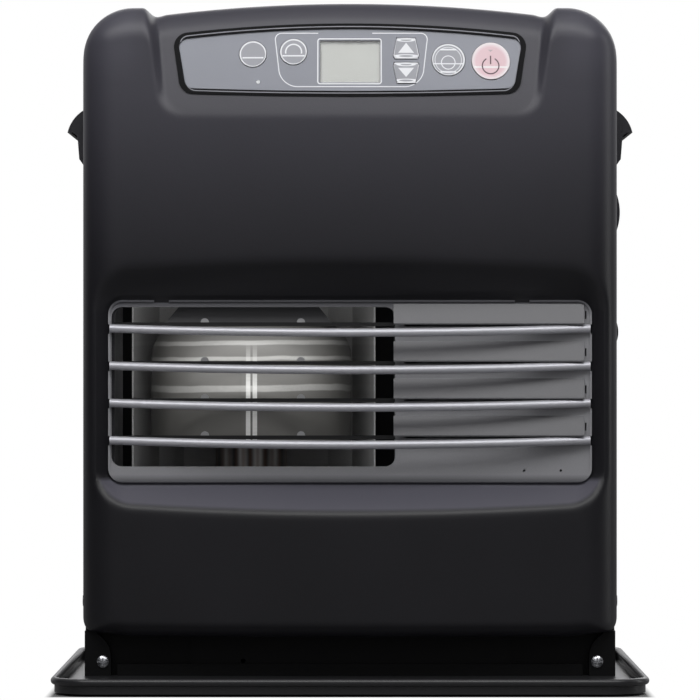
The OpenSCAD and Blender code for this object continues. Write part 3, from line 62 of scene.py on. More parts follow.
def extent(node):
    """Lowest and highest corner of a CAD node, in metres."""
    low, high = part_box(node)
    return np.array(low), np.array(high)


def extent_mm(node):
    """Lowest and highest corner of a CAD node, in millimetres."""
    return [1000.0 * corner for corner in extent(node)]


class Maker:
    """Makes shader nodes in one tree: a type, what goes into its sockets, and its settings."""

    def __init__(self, tree, out):
        self.tree = tree
        tree.nodes.clear()
        self.out = self.node(out)

    def node(self, kind, sockets=None, **settings):
        made = self.tree.nodes.new("ShaderNode" + kind)
        for name, value in settings.items():
            setattr(made, name, value)
        for name, value in (sockets or {}).items():
            self.feed(made.inputs[name], value)
        return made

    def feed(self, socket, value):
        if isinstance(value, Field):
            self.tree.links.new(value.socket, socket)
        elif isinstance(value, bpy.types.NodeSocket):
            self.tree.links.new(value, socket)
        else:
            socket.default_value = value

    def math(self, operation, *values):
        made = self.node("Math", dict(enumerate(values)), operation=operation)
        return Field(self, made.outputs[0])

    def parts(self, vector):
        """The three parts of a vector."""
        return [Field(self, part) for part in self.node("SeparateXYZ", {0: vector}).outputs]

    def mix(self, factor, first, second):
        """Mix of two colours by a field."""
        made = self.node("Mix", {0: factor, 6: first, 7: second}, data_type="RGBA")
        return made.outputs[2]

    def show(self, shader):
        """Makes a shader node the one that the surface or the sky has."""
        self.feed(self.out.inputs["Surface"], shader.outputs[0])

    def blend(self, factor, first, second):
        """Shows the second shader node where the factor is 1 and the first where it is 0."""
        sockets = {0: factor, 1: first.outputs[0], 2: second.outputs[0]}
        self.show(self.node("MixShader", sockets))


def pair(operation):
    """An operator and its reflected form, which takes the two values the other way round."""

    def forward(field, other):
        return field.maker.math(operation, field, other)

    def reflected(field, other):
        return field.maker.math(operation, other, field)

    return forward, reflected


class Field:
    """A number that varies over the surface or the sky; its operators make Math nodes."""

    def __init__(self, maker, socket):
        self.maker = maker
        self.socket = socket

    __add__, __radd__ = pair("ADD")
    __sub__, __rsub__ = pair("SUBTRACT")
    __mul__, __rmul__ = pair("MULTIPLY")
    __truediv__, __rtruediv__ = pair("DIVIDE")
    __pow__, __rpow__ = pair("POWER")
    __lt__, __gt__ = pair("LESS_THAN")
    smaller = pair("MINIMUM")[0]
    larger = pair("MAXIMUM")[0]

    def __abs__(self):
        return self.maker.math("ABSOLUTE", self)

    def root(self):
        return self.maker.math("SQRT", self.larger(0.0))

    def sine(self):
        return self.maker.math("SINE", self)

    def clamped(self):
        return self.larger(0.0).smaller(1.0)

    def rounded(self, other, radius):
        """Signed distance to the round corner between two sides; negative inside."""
        across, along = self + radius, other + radius
        outside = (across.larger(0.0) ** 2.0 + along.larger(0.0) ** 2.0).root()
        return outside + across.larger(along).smaller(0.0) - radius

    def soft_below(self, edge, width):
        """1 where the value is below the edge, 0 above it, over a soft width."""
        return ((edge - self) / width + 0.5).clamped()

    def ramp(self, start, width):
        """0 up to the start, then evenly up to 1 over the width."""
        return ((self - start) / width).clamped()


def largest(fields):
    """The greatest of several fields at each place."""
    return functools.reduce(Field.larger, fields)


class Finish(Maker):
    """One procedural material with its coordinates in millimetres and its surface shader."""

    PRINT_EDGE = 0.15

    def __init__(self, name):
        self.material = bpy.data.materials.new(name)
        self.material.use_nodes = True
        super().__init__(self.material.node_tree, "OutputMaterial")
        self.tone = None
        self.tilt = 1.0
        self.place = self.node("TexCoord").outputs["Object"]
        self.x, self.y, self.z = (part * 1000.0 for part in self.parts(self.place))
        self.shader = self.node("BsdfPrincipled")
        self.show(self.shader)

    def noise(self, scale, detail=3.0, stretch=(1, 1, 1)):
        """Cloudy noise, drawn out along an axis where the stretch is small."""
        drawn = self.node("Mapping", {"Vector": self.place, "Scale": stretch})
        sockets = {"Vector": drawn.outputs[0], "Scale": scale, "Detail": detail}
        return Field(self, self.node("TexNoise", sockets).outputs["Fac"])

    def cells(self, scale, feature="F1", output="Distance"):
        """Small cells that fill the surface, by the distance or the colour that each gives."""
        sockets = {"Vector": self.place, "Scale": scale}
        return self.node("TexVoronoi", sockets, feature=feature).outputs[output]

    def set(self, **values):
        """Feeds the shader's sockets; an underscore in a name stands for a space."""
        for name, value in values.items():
            self.feed(self.shader.inputs[name.replace("_", " ")], value)
        self.tone = values.get("Base_Color", self.tone)

    def ink(self, colour, *masks):
        """Prints a colour over the surface where one of the masks is 1; also lays painted light and
        shade.
        """
        self.set(Base_Color=self.mix(largest(masks).clamped(), self.tone, colour))

    def centre_on(self, node, lift=0.0):
        """Measures x and z from a console piece's middle from here on; gives its half width."""
        low, high = extent_mm(node)
        self.x = self.x - (low[0] + high[0]) / 2
        self.z = self.z - (low[2] + high[2]) / 2 - lift
        self.tilt = CONSOLE_TILT
        return (high[0] - low[0]) / 2

    def bump(self, height, strength, distance):
        sockets = {"Height": height, "Strength": strength, "Distance": distance}
        self.feed(self.shader.inputs["Normal"], self.node("Bump", sockets).outputs[0])

    def distance(self, z):
        """Distance from a point of the middle line, measured along the face where it leans."""
        up = (self.z - z) / self.tilt
        return (self.x * self.x + up * up).root()

    def ring(self, z, radius, width):
        """1 on a thin circle about a point of the middle line."""
        return abs(self.distance(z) - radius).soft_below(width / 2, self.PRINT_EDGE)

    def block(self, z, half_w, half_h, x=0.0, soft=PRINT_EDGE):
        """1 inside a rectangle."""
        return abs(self.x - x).soft_below(half_w, soft) * abs(self.z - z).soft_below(half_h, soft)


def rgb(red, green, blue):
    return (red, green, blue, 1.0)


def shade(colour, factor):
    return (colour[0] * factor, colour[1] * factor, colour[2] * factor, 1.0)


def paint(name, colour, grain=900.0, rough=0.42, depth=0.00006):
    """Powder paint: orange-peel relief, fine specks and slow patches of tone."""
    finish = Finish(name)
    patch = finish.noise(9.0, 4.0)
    speck = finish.noise(grain * 1.7, 2.0)
    peel = finish.noise(grain, 2.0)
    finish.set(
        Base_Color=finish.mix((patch + speck) * 0.5, shade(colour, 0.8), shade(colour, 1.2)),
        Roughness=(speck - 0.5) * 0.15 + rough,
    )
    finish.bump(peel + speck * 0.5, 0.6, depth)
    return finish


def plastic(name, colour, grain=1400.0, rough=0.4, depth=0.00005):
    """Moulded plastic: pebble grain from small cells under fine noise."""
    finish = Finish(name)
    pebble = Field(finish, finish.cells(grain))
    cloud = finish.noise(14.0)
    finish.set(
        Base_Color=finish.mix(cloud, shade(colour, 0.85), shade(colour, 1.15)),
        Roughness=(pebble - 0.3) * 0.12 + rough,
    )
    finish.bump(pebble, 0.5, depth)
    return finish


def brushed(name, colour, along="x", rough=0.35, streak=0.2):
    """Brushed metal: streaks that run along one axis."""
    finish = Finish(name)
    stretch = {"x": (0.03, 1, 1), "y": (1, 0.03, 1), "z": (1, 1, 0.03)}[along]
    lines = finish.noise(1500.0, 3.0, stretch)
    smear = finish.noise(25.0)
    finish.set(
        Base_Color=finish.mix(lines, shade(colour, 1 - streak), shade(colour, 1 + streak * 0.6)),
        Roughness=(lines - 0.5) * 0.25 + (smear - 0.5) * 0.1 + rough,
        Metallic=1.0,
    )
    finish.bump(lines, 0.25, 0.00003)
    return finish


def satin(name, colour):
    """Dull sheet, brushed along X, that scatters more light than it mirrors."""
    finish = brushed(name, colour, rough=0.55)
    finish.set(Metallic=0.2)
    return finish


def spangle(name, colour):
    """Galvanised sheet: angular crystals of slightly different tone."""
    finish = Finish(name)
    facets = finish.cells(120.0, output="Color")
    split = finish.node("SeparateColor", {"Color": facets})
    crystal = Field(finish, split.outputs[0])
    cloud = finish.noise(30.0)
    finish.set(
        Base_Color=finish.mix(crystal, shade(colour, 0.75), shade(colour, 1.2)),
        Roughness=crystal * 0.15 + cloud * 0.1 + 0.3,
        Metallic=1.0,
    )
    finish.bump(crystal * 0.3 + cloud, 0.2, 0.00005)
    return finish


def tint(name, about, default):
    """Property that holds a colour."""
    return bpy.props.FloatVectorProperty(
        name=name, description=about, subtype="COLOR", size=3, default=default, min=0, max=1
    )


def number(name, about, default, least, most, **kind):
    """Property that holds a number; its kind gives a subtype or a unit where one fits."""
    return bpy.props.FloatProperty(
        name=name, description=about, default=default, min=least, max=most, **kind
    )


SHARE = {"subtype": "FACTOR"}
POWER = {"unit": "POWER"}


class CabinetLook(bpy.types.PropertyGroup):
    """Colours and gloss of the painted outer parts."""

    colour: tint("Paint", "Colour of the sheet-steel cabinet", (0.0254, 0.0247, 0.0308))
    # The pan's darker copy of the tray colour is painted shade
    tray: tint("Tray", "Colour of the drip tray, darker on the pan above it", (0.02, 0.02, 0.022))
    rough: number("Roughness", "Roughness of the cabinet's paint", 0.4, 0.1, 0.9, **SHARE)
    sheen: number("Specular level", "How strongly the paint mirrors light", 0.4, 0.1, 1, **SHARE)


class ConsoleLook(bpy.types.PropertyGroup):
    """Colours of the control panel, and the width of its printed lines."""

    fascia: tint("Fascia", "Colour of the silver plate in the bezel", (0.265, 0.275, 0.315))
    keys: tint("Keys", "Colour of the five silver keys", (0.34, 0.345, 0.38))
    power: tint("Power key", "Colour of the power key", (0.78, 0.56, 0.6))
    ink: number("Printed line", "Width of the fascia's outlines, in mm", 0.6, 0.2, 1.5)


class StudioLook(bpy.types.PropertyGroup):
    """Strength of the sky and of the lamps."""

    sky: number("Sky", "Strength of the light from all round", 0.5, 0, 5)
    fill: number("Sky in front", "Brightness of the sky low in front", 0.56, 0, 1, **SHARE)
    key: number("Key light", "Wide lamp in front and above", 8.0, 0, 200, **POWER)
    near: number("Near strip", "Narrow lamp close above the front", 4.4, 0, 50, **POWER)
    rim: number("Rim light", "Lamp that draws the cabinet's right edge", 3.0, 0, 50, **POWER)
    back: number("Back light", "Lamp behind, on the rear and the top", 12.0, 0, 100, **POWER)
    ceiling: number("Ceiling light", "Lamp over the floor in front", 7.0, 0, 200, **POWER)
    window: number("Window light", "Small lamp on the burner", 0.03, 0, 1, **POWER)


class FrontShape(bpy.types.PropertyGroup):
    """Forms of the front panel, with the values that the part's own source gives them."""

    bow: number("Bow", "How far the middle stands proud of the sides, in mm", 10, 6, 13)
    corner: number("Corners", "Radius of the upright front corners, in mm", 24, 18, 28)
    shoulder: number("Shoulders", "Radius of the outline's shoulders, in mm", 32, 24, 36)
    edge: number("Shoulder edge", "Round between face and shoulders, in mm", 20, 10, 24)
    crown_edge: number("Crown edge", "Round between face and crown, in mm", 15, 8, 18)
    knee: number("Knee", "Height where the console starts to lean, in mm", 360, 350, 370)
    lean: number("Lean", "Lean of the console from upright, in degrees", CONSOLE_LEAN, 6, 16)
    roll: number("Roll", "Round of the lower edge, in mm", 10, 4, 12)
    skirt: number("Skirt", "Height of the sides' lower edge, in mm", 45, 40, 50)


def soft_step(value):
    """Smooth step from 0 to 1: three squares less two cubes of the clipped value."""
    t = np.clip(value, 0.0, 1.0)
    return t * t * (3 - 2 * t)


def soft_positive(value, width):
    """Smooth stand-in for max(value, 0): the upper branch of a hyperbola."""
    return 0.5 * (value + np.sqrt(value * value + width * width))


def arc_radius(half, rise):
    """Radius of the arc that rises by a height over half its chord."""
    return (half**2 + rise**2) / (2 * rise)


def arc_fall(x, radius):
    """Fall of an arc at a distance from its middle: radius less the root of radius² - x²."""
    return radius - np.sqrt(radius**2 - x**2)


def rolled(below, radius):
    """Depth of a quarter round at a distance below its edge, and 0 past the radius."""
    return arc_fall(np.clip(radius - below, 0.0, radius), radius)


def rounded_corner(across, along):
    """Distance from a corner whose sides lie at 0: round outside it, square inside."""
    outside = np.hypot(np.maximum(across, 0), np.maximum(along, 0))
    return outside + np.minimum(np.maximum(across, along), 0)


def rounded_box(x, z, half_w, half_h, radius):
    """Signed distance to a rounded rectangle about the origin; negative inside."""
    return rounded_corner(np.abs(x) - half_w + radius, np.abs(z) - half_h + radius) - radius


class BezelOutline:
    """The bezel from the front, in millimetres: two arcs, leaning sides and round corners."""

    FALL = 6.7
    SMILE = 2.4
    RADIUS = 7.4
    SLANT = 7.0


class FrontPanelForm:
    """The front panel's face as a height field: its depth behind the foremost line at x and z.

    All is in millimetres. The forms below are those of the part's own source, which the frame's
    boxes don't tell. The softening widths and the grid are the scene's.
    """

    # Outline and edges
    SHOULDER_DROP = 3.0
    SHOULDER_START = 4.0
    SHOULDER_RISE = 8.0
    VALLEY_DROP = 8.0
    CROWN_HALF = 119.0
    CROWN_SAG = 7.0
    CROWN_END = 6.0
    EDGE_SAG = 8.0
    EDGE_INSET = 22.0
    EDGE_END = 12.0
    FLANGE_GAP = 6.0
    FLANGE_LEAST = 1.0
    COVER_GAP = 2.0

    # Console relief, and how the rolled edges join
    RELIEF_CORNER = 18.0
    RELIEF_DROP = 1.0
    RELIEF_SPREAD = 8.0 / 65.0
    CREASE = 7.0
    KNEE_ROUND = 2.0
    ROLL_BLEND = 2.5

    # Pocket and openings
    POCKET_DEPTH = 22.0
    MOUTH_HALF = 161.0
    MOUTH_RISE = 79.4
    MOUTH_BEND = 4.0
    MOUTH_SPAN = 137.0
    MOUTH_RADIUS = 24.0
    MOUTH_ROUND = 2.2
    MOUTH_Z = 190.0
    FLOOR_MARGIN = 1.0
    FLOOR_RADIUS = 10.0
    FLOOR_ROUND = 1.0
    WINDOW_LAP = 4.0
    WINDOW_RADIUS = 6.0
    BEZEL_LAP = 1.6
    BEZEL_CORNER = 2.2

    # Grid of points
    FACE_COLUMNS = 128
    CORNER_COLUMNS = 14
    FACE_ROWS = 240
    ROLL_ROWS = 9
    EDGE_ROWS = 12
    SNAP_STEP = 0.05
    SNAP_PASSES = 2
    LEAST_SLOPE = 0.1

    NEAR = slice(0, -1)
    FAR = slice(1, None)
    CORNERS = ((NEAR, NEAR), (NEAR, FAR), (FAR, FAR), (FAR, NEAR))

    def __init__(self, shape):
        self.shape = shape
        (_, self.front, self.low), (self.half, self.split, self.high) = extent_mm("front_panel")
        self.cover = extent_mm("top_cover")[1][2]
        self.flange = extent_mm("base_frame")[0][1] - self.FLANGE_GAP
        self.bezel_low, self.bezel_high = extent_mm("console_bezel")
        (_, _, sill), (self.grille_half, _, lintel) = extent_mm("grille_frame")
        self.grille_z = (sill + lintel) / 2
        self.grille_rise = (lintel - sill) / 2
        self.radius = arc_radius(self.half, shape.bow)
        inner = self.radius - shape.corner
        self.corner_x = self.half - shape.corner
        self.corner_y = self.front + self.radius - math.sqrt(inner**2 - self.corner_x**2)
        self.tangent_x = self.corner_x * self.radius / inner

    def turn(self, x):
        """Depth of the rounded front corners past the bow, from where they leave it."""
        start = self.corner_y - self.shape.corner - self.front
        plan = start + rolled(self.half - np.abs(x), self.shape.corner)
        past = np.maximum(plan - arc_fall(x, self.radius), 0.0)
        return np.where(np.abs(x) > self.tangent_x, past, 0.0)

    def top(self, x):
        """Upper outline: an arc for the crown, level dips beside it and rounded shoulders."""
        a = np.abs(x)
        crown_r = arc_radius(self.CROWN_HALF, self.CROWN_SAG)
        crown = self.high - arc_fall(np.minimum(a, self.CROWN_HALF), crown_r)
        valley = self.high - self.VALLEY_DROP
        side = self.high - self.SHOULDER_DROP - rolled(self.half - a, self.shape.shoulder)
        past = a - self.CROWN_HALF
        dip = crown + (valley - crown) * soft_step(past / self.CROWN_END + 0.5)
        return dip + (side - dip) * soft_step((past - self.SHOULDER_START) / self.SHOULDER_RISE)

    def bottom(self, x):
        """Lower outline: the higher of a long smile and of the ends' rounds up to the skirt."""
        a = np.abs(x)
        smile = self.low + arc_fall(a, arc_radius(self.half - self.EDGE_INSET, self.EDGE_SAG))
        end = self.shape.skirt - self.EDGE_END + rolled(self.half - a, self.EDGE_END)
        return np.maximum(smile, end)

    def relief(self, x, z):
        """Signed distance to the console relief's outline; negative inside."""
        a = np.abs(x)
        r = self.RELIEF_CORNER
        low = self.shape.knee - self.RELIEF_DROP
        corner_x = self.CROWN_HALF - r
        side = a - self.CROWN_HALF - (z - low - r) * self.RELIEF_SPREAD
        round_part = np.hypot(np.maximum(a - corner_x, 0), np.maximum(low + r - z, 0)) - r
        return np.where(z >= low + r, side, np.where(a <= corner_x, low - z, round_part))

    def pocket(self, x, z):
        """Share of the pocket's depth: distance in from its mouth over that plus the floor's."""
        rise = self.MOUTH_RISE - self.MOUTH_BEND * (x / self.MOUTH_SPAN) ** 2
        tall = (z - self.MOUTH_Z) * self.MOUTH_RISE / rise
        mouth = -rounded_box(x, tall, self.MOUTH_HALF, self.MOUTH_RISE, self.MOUTH_RADIUS)
        half_w = self.grille_half + self.FLOOR_MARGIN
        half_h = self.grille_rise + self.FLOOR_MARGIN
        floor = rounded_box(x, z - self.grille_z, half_w, half_h, self.FLOOR_RADIUS)
        inside = soft_positive(mouth, self.MOUTH_ROUND)
        return inside / (inside + soft_positive(floor, self.FLOOR_ROUND))

    def depth(self, x, z):
        """Depth behind the foremost line: bow, lean and rolls added, then blended to the pocket.

        The rolls of the corners, the top and the foot join as the root of a sum of powers.
        """
        outside = soft_step((self.relief(x, z) + self.CREASE / 2) / self.CREASE)
        edge = self.shape.crown_edge + (self.shape.edge - self.shape.crown_edge) * outside
        slope = math.tan(math.radians(self.shape.lean))
        leaning = soft_positive(z - self.shape.knee, self.KNEE_ROUND) * slope * (1 - outside)
        over = rolled(self.top(x) - z, edge)
        under = rolled(z - self.bottom(x), self.shape.roll)
        rolls = sum(part**self.ROLL_BLEND for part in (self.turn(x), over, under))
        face = arc_fall(x, self.radius) + leaning + rolls ** (1 / self.ROLL_BLEND)
        return face + (self.POCKET_DEPTH - face) * self.pocket(x, z)

    def opening(self, x, z):
        """Signed distance to the opening behind the bezel: between both arcs and the sides."""
        low = self.bezel_low[2] + self.BEZEL_LAP
        high = self.bezel_high[2] - self.BEZEL_LAP
        half = self.bezel_high[0] + self.BEZEL_CORNER - self.BEZEL_LAP
        arch = arc_radius(half, BezelOutline.FALL)
        dish = arc_radius(half, BezelOutline.SMILE)
        over = np.hypot(x, z - (high - arch)) - arch
        under = np.hypot(x, z - (low + dish)) - dish
        lean = BezelOutline.SLANT / (self.bezel_high[2] - self.bezel_low[2])
        side = np.abs(x) - (half - (self.bezel_high[2] - z) * lean)
        radius = BezelOutline.RADIUS
        return rounded_corner(np.maximum(over, under) + radius, side + radius) - radius

    def hole(self, x, z):
        """Signed distance to the nearer of the grille's window and the console's opening."""
        half_w = self.grille_half - self.WINDOW_LAP
        half_h = self.grille_rise - self.WINDOW_LAP
        window = rounded_box(x, z - self.grille_z, half_w, half_h, self.WINDOW_RADIUS)
        return np.minimum(window, self.opening(x, z))

    def columns(self):
        """x of the columns: even over the face, then equal angles round each corner."""
        face = np.linspace(0, self.tangent_x, self.FACE_COLUMNS)[:-1]
        start = math.asin(self.corner_x / (self.radius - self.shape.corner))
        angles = np.linspace(start, math.pi / 2, self.CORNER_COLUMNS)
        right = np.concatenate([face, self.corner_x + self.shape.corner * np.sin(angles)])
        return np.concatenate([-right[:0:-1], right])

    def grid(self):
        """Rows of points: equal angles round the foot, even up the face, equal angles over."""
        x = self.columns()
        foot, edge = self.shape.roll, self.shape.edge
        first, last = self.bottom(x) + foot, self.top(x) - edge
        falling = np.sin(np.linspace(math.pi / 2, 0, self.ROLL_ROWS))[:-1]
        rising = np.sin(np.linspace(0, math.pi / 2, self.EDGE_ROWS))[1:]
        rows = [first - foot * s for s in falling]
        rows += [first + (last - first) * t for t in np.linspace(0, 1, self.FACE_ROWS)]
        rows += [last + edge * s for s in rising]
        z = np.array(rows)
        return np.broadcast_to(x, z.shape).copy(), z

    def snapped(self, x, z, loose):
        """Moves the loose points onto the outline of the hole they lie in, down its slope."""
        step = self.SNAP_STEP
        for _ in range(self.SNAP_PASSES):
            gap = self.hole(x, z)
            slope_x = (self.hole(x + step, z) - self.hole(x - step, z)) / (2 * step)
            slope_z = (self.hole(x, z + step) - self.hole(x, z - step)) / (2 * step)
            steep = np.maximum(np.hypot(slope_x, slope_z), self.LEAST_SLOPE) ** 2
            x = np.where(loose, x - gap * slope_x / steep, x)
            z = np.where(loose, z - gap * slope_z / steep, z)
        return x, z

    def with_returns(self, x, y, z):
        """Adds a row below for the flange, two above for the top, and a column at each side."""
        flange = np.minimum(np.maximum(y[0] + self.FLANGE_LEAST, self.flange), self.split)
        shoulder = rolled(self.half - np.abs(x[-1]), self.shape.shoulder)
        lowest = np.minimum(self.cover - self.COVER_GAP - shoulder, z[-1])
        behind = np.full_like(x[0], self.split)
        x = np.vstack([x[0], x, x[-1], x[-1]])
        y = np.vstack([flange, y, behind, behind])
        z = np.vstack([z[0], z, z[-1], lowest])
        side = np.full((len(y), 1), self.split)
        x = np.hstack([x[:, :1], x, x[:, -1:]])
        z = np.hstack([z[:, :1], z, z[:, -1:]])
        return x, np.hstack([side, y, side]), z

    def surface(self):
        """Points and faces; a face with a corner outside the holes stays, drawn to their edge."""
        x, z = self.grid()
        gap = self.hole(x, z)
        kept = np.maximum.reduce([gap[corner] for corner in self.CORNERS]) > 0
        used = np.zeros(gap.shape, bool)
        for corner in self.CORNERS:
            used[corner] |= kept
        x, z = self.snapped(x, z, used & (gap < 0))
        y = np.minimum(self.front + self.depth(x, z), self.split)
        x, y, z = self.with_returns(x, y, z)
        kept = np.pad(kept, ((1, 2), (1, 1)), constant_values=True)
        index = np.arange(x.size).reshape(x.shape)
        faces = np.stack([index[corner] for corner in self.CORNERS], -1)[kept]
        return compacted(np.stack([x.ravel(), y.ravel(), z.ravel()], 1), faces)


def compacted(points, faces):
    """Leaves out the points that no face uses and numbers the rest anew."""
    used = np.unique(faces)
    place = np.zeros(len(points), int)
    place[used] = np.arange(len(used))
    return points[used], place[faces]


def add_object(name, data):
    """Puts a new object into the scene."""
    made = bpy.data.objects.new(name, data)
    bpy.context.scene.collection.objects.link(made)
    return made


def add_piece(name, points, faces, body, finish, replaced):
    """Adds one piece, from points in metres, in place of CAD nodes; it rides with a body."""
    mesh = bpy.data.meshes.new(name)
    mesh.from_pydata(points.tolist(), [], faces.tolist())
    mesh.validate()
    mesh.polygons.foreach_set("use_smooth", [True] * len(mesh.polygons))
    mesh.set_sharp_from_angle(angle=SHARP_ANGLE)
    mesh.materials.append(finish.material)
    piece = add_object(name, mesh)
    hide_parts(*replaced)
    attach(piece, body)


def cover(finish, *nodes):
    """Puts a finish on CAD nodes."""
    for node in nodes:
        materials = NODES[node].data.materials
        materials.clear()
        materials.append(finish.material)


class HEATER_OT_cabinet(bpy.types.Operator):
    """Paints the cabinet, the chassis, the tray and the feet"""

    bl_idname = "heater.cabinet"
    bl_label = "Cabinet finishes"

    CORNER_DEPTH = 26.0
    FOOT_HEIGHT = 9.0
    RISE_HEIGHT = 130.0
    SHOULDER_X = 125.0
    SHOULDER_Z = 380.0
    # Palest copy of the colour, base tone, and the shares of painted light with height, on the
    # sill, at the foot and on the shoulders
    PALEST = 4.0
    TONE = 0.11
    PAINTED_RISE_LIGHT = 0.41
    PAINTED_SILL_LIGHT = 0.8
    PAINTED_FOOT_LIGHT = 0.35
    PAINTED_SHOULDER_HIGHLIGHT = 0.15

    def execute(self, context):
        look = context.scene.heater_cabinet
        colour = tuple(look.colour)
        front = self.sheet_paint("front_paint", colour, look)
        cover(front, "front_panel")
        points, faces = FrontPanelForm(context.scene.heater_front).surface()
        add_piece(
            "front_skin", points / 1000, faces, "cabinet", front, ["front_panel"]
        )
        # The sides and the back take paler copies of the cabinet's paint: painted light on faces
        # that the lamps light less
        side = self.sheet_paint("side_paint", shade(colour, 1.35), look)
        cover(side, "side_panel_left", "side_panel_right", "top_cover", "rear_spacers")
        cover(self.sheet_paint("back_paint", shade(colour, 2.0), look), "back_panel")
        # The pan takes a much darker copy of the tray's colour: painted shade, for the pan that
        # sits under the front's overhang
        pan = paint("base_paint", shade(look.tray, 0.2), rough=0.5)
        pan.set(Specular_IOR_Level=0.2)
        cover(pan, "base_frame")
        cover(paint("tray_paint", look.tray, rough=0.3, depth=0.00003), "base_tray")
        cover(plastic("lid_plastic", shade(colour, 0.95)), "hatch_lid")
        cover(plastic("grip_plastic", shade(colour, 0.9)), "left_grip", "right_grip")
        rubber = plastic("foot_rubber", (0.02, 0.02, 0.021), grain=700.0, rough=0.7, depth=0.0001)
        cover(rubber, "rubber_feet", "cord_gland")
        return {"FINISHED"}

    def mouth(self, finish):
        """Distance to the outline of the pocket's mouth; negative inside."""
        form = FrontPanelForm
        bend = finish.x / form.MOUTH_SPAN
        side = abs(finish.x) - form.MOUTH_HALF
        tall = abs(finish.z - form.MOUTH_Z) - form.MOUTH_RISE + bend * bend * form.MOUTH_BEND
        return side.rounded(tall, form.MOUTH_RADIUS)

    def sheet_paint(self, name, colour, look):
        """Paint with painted light: paler towards the console, on the sill, at the foot and on the
        shoulders.
        """
        finish = Finish(name)
        peel = finish.noise(900.0, 2.0)
        speck = finish.noise(1500.0, 2.0)
        patch = finish.noise(9.0, 4.0)
        front_low = extent_mm("front_panel")[0]
        grille_low, grille_high = extent_mm("grille_frame")
        # Painted light: paler with height above the grille, a painted highlight on the upper
        # shoulders, and paler on the pocket's sill and the lower roll near the front
        rise = finish.z.ramp(grille_high[2], self.RISE_HEIGHT) ** 1.4
        shoulder = abs(finish.x).ramp(self.SHOULDER_X, 15.0) * finish.z.ramp(self.SHOULDER_Z, 20.0)
        near = (finish.y - front_low[1]).soft_below(self.CORNER_DEPTH, 3.0)
        foot = (finish.z - front_low[2]).soft_below(self.FOOT_HEIGHT, 8.0)
        below = (finish.z - grille_low[2]).soft_below(2.0, 3.0)
        sill = self.mouth(finish).soft_below(-2.0, 2.5) * below
        tone = (patch - 0.5) * 0.084 + (speck - 0.5) * 0.072 + rise * self.PAINTED_RISE_LIGHT + self.TONE
        tone = tone + (sill * self.PAINTED_SILL_LIGHT + foot * self.PAINTED_FOOT_LIGHT) * near
        tone = (tone + shoulder * self.PAINTED_SHOULDER_HIGHLIGHT).clamped()
        finish.set(
            Base_Color=finish.mix(tone, rgb(0, 0, 0), shade(colour, self.PALEST)),
            Roughness=(speck - 0.5) * 0.15 + look.rough,
            Specular_IOR_Level=look.sheen,
        )
        finish.bump(peel + speck * 0.5, 0.6, 0.00006)
        return finish


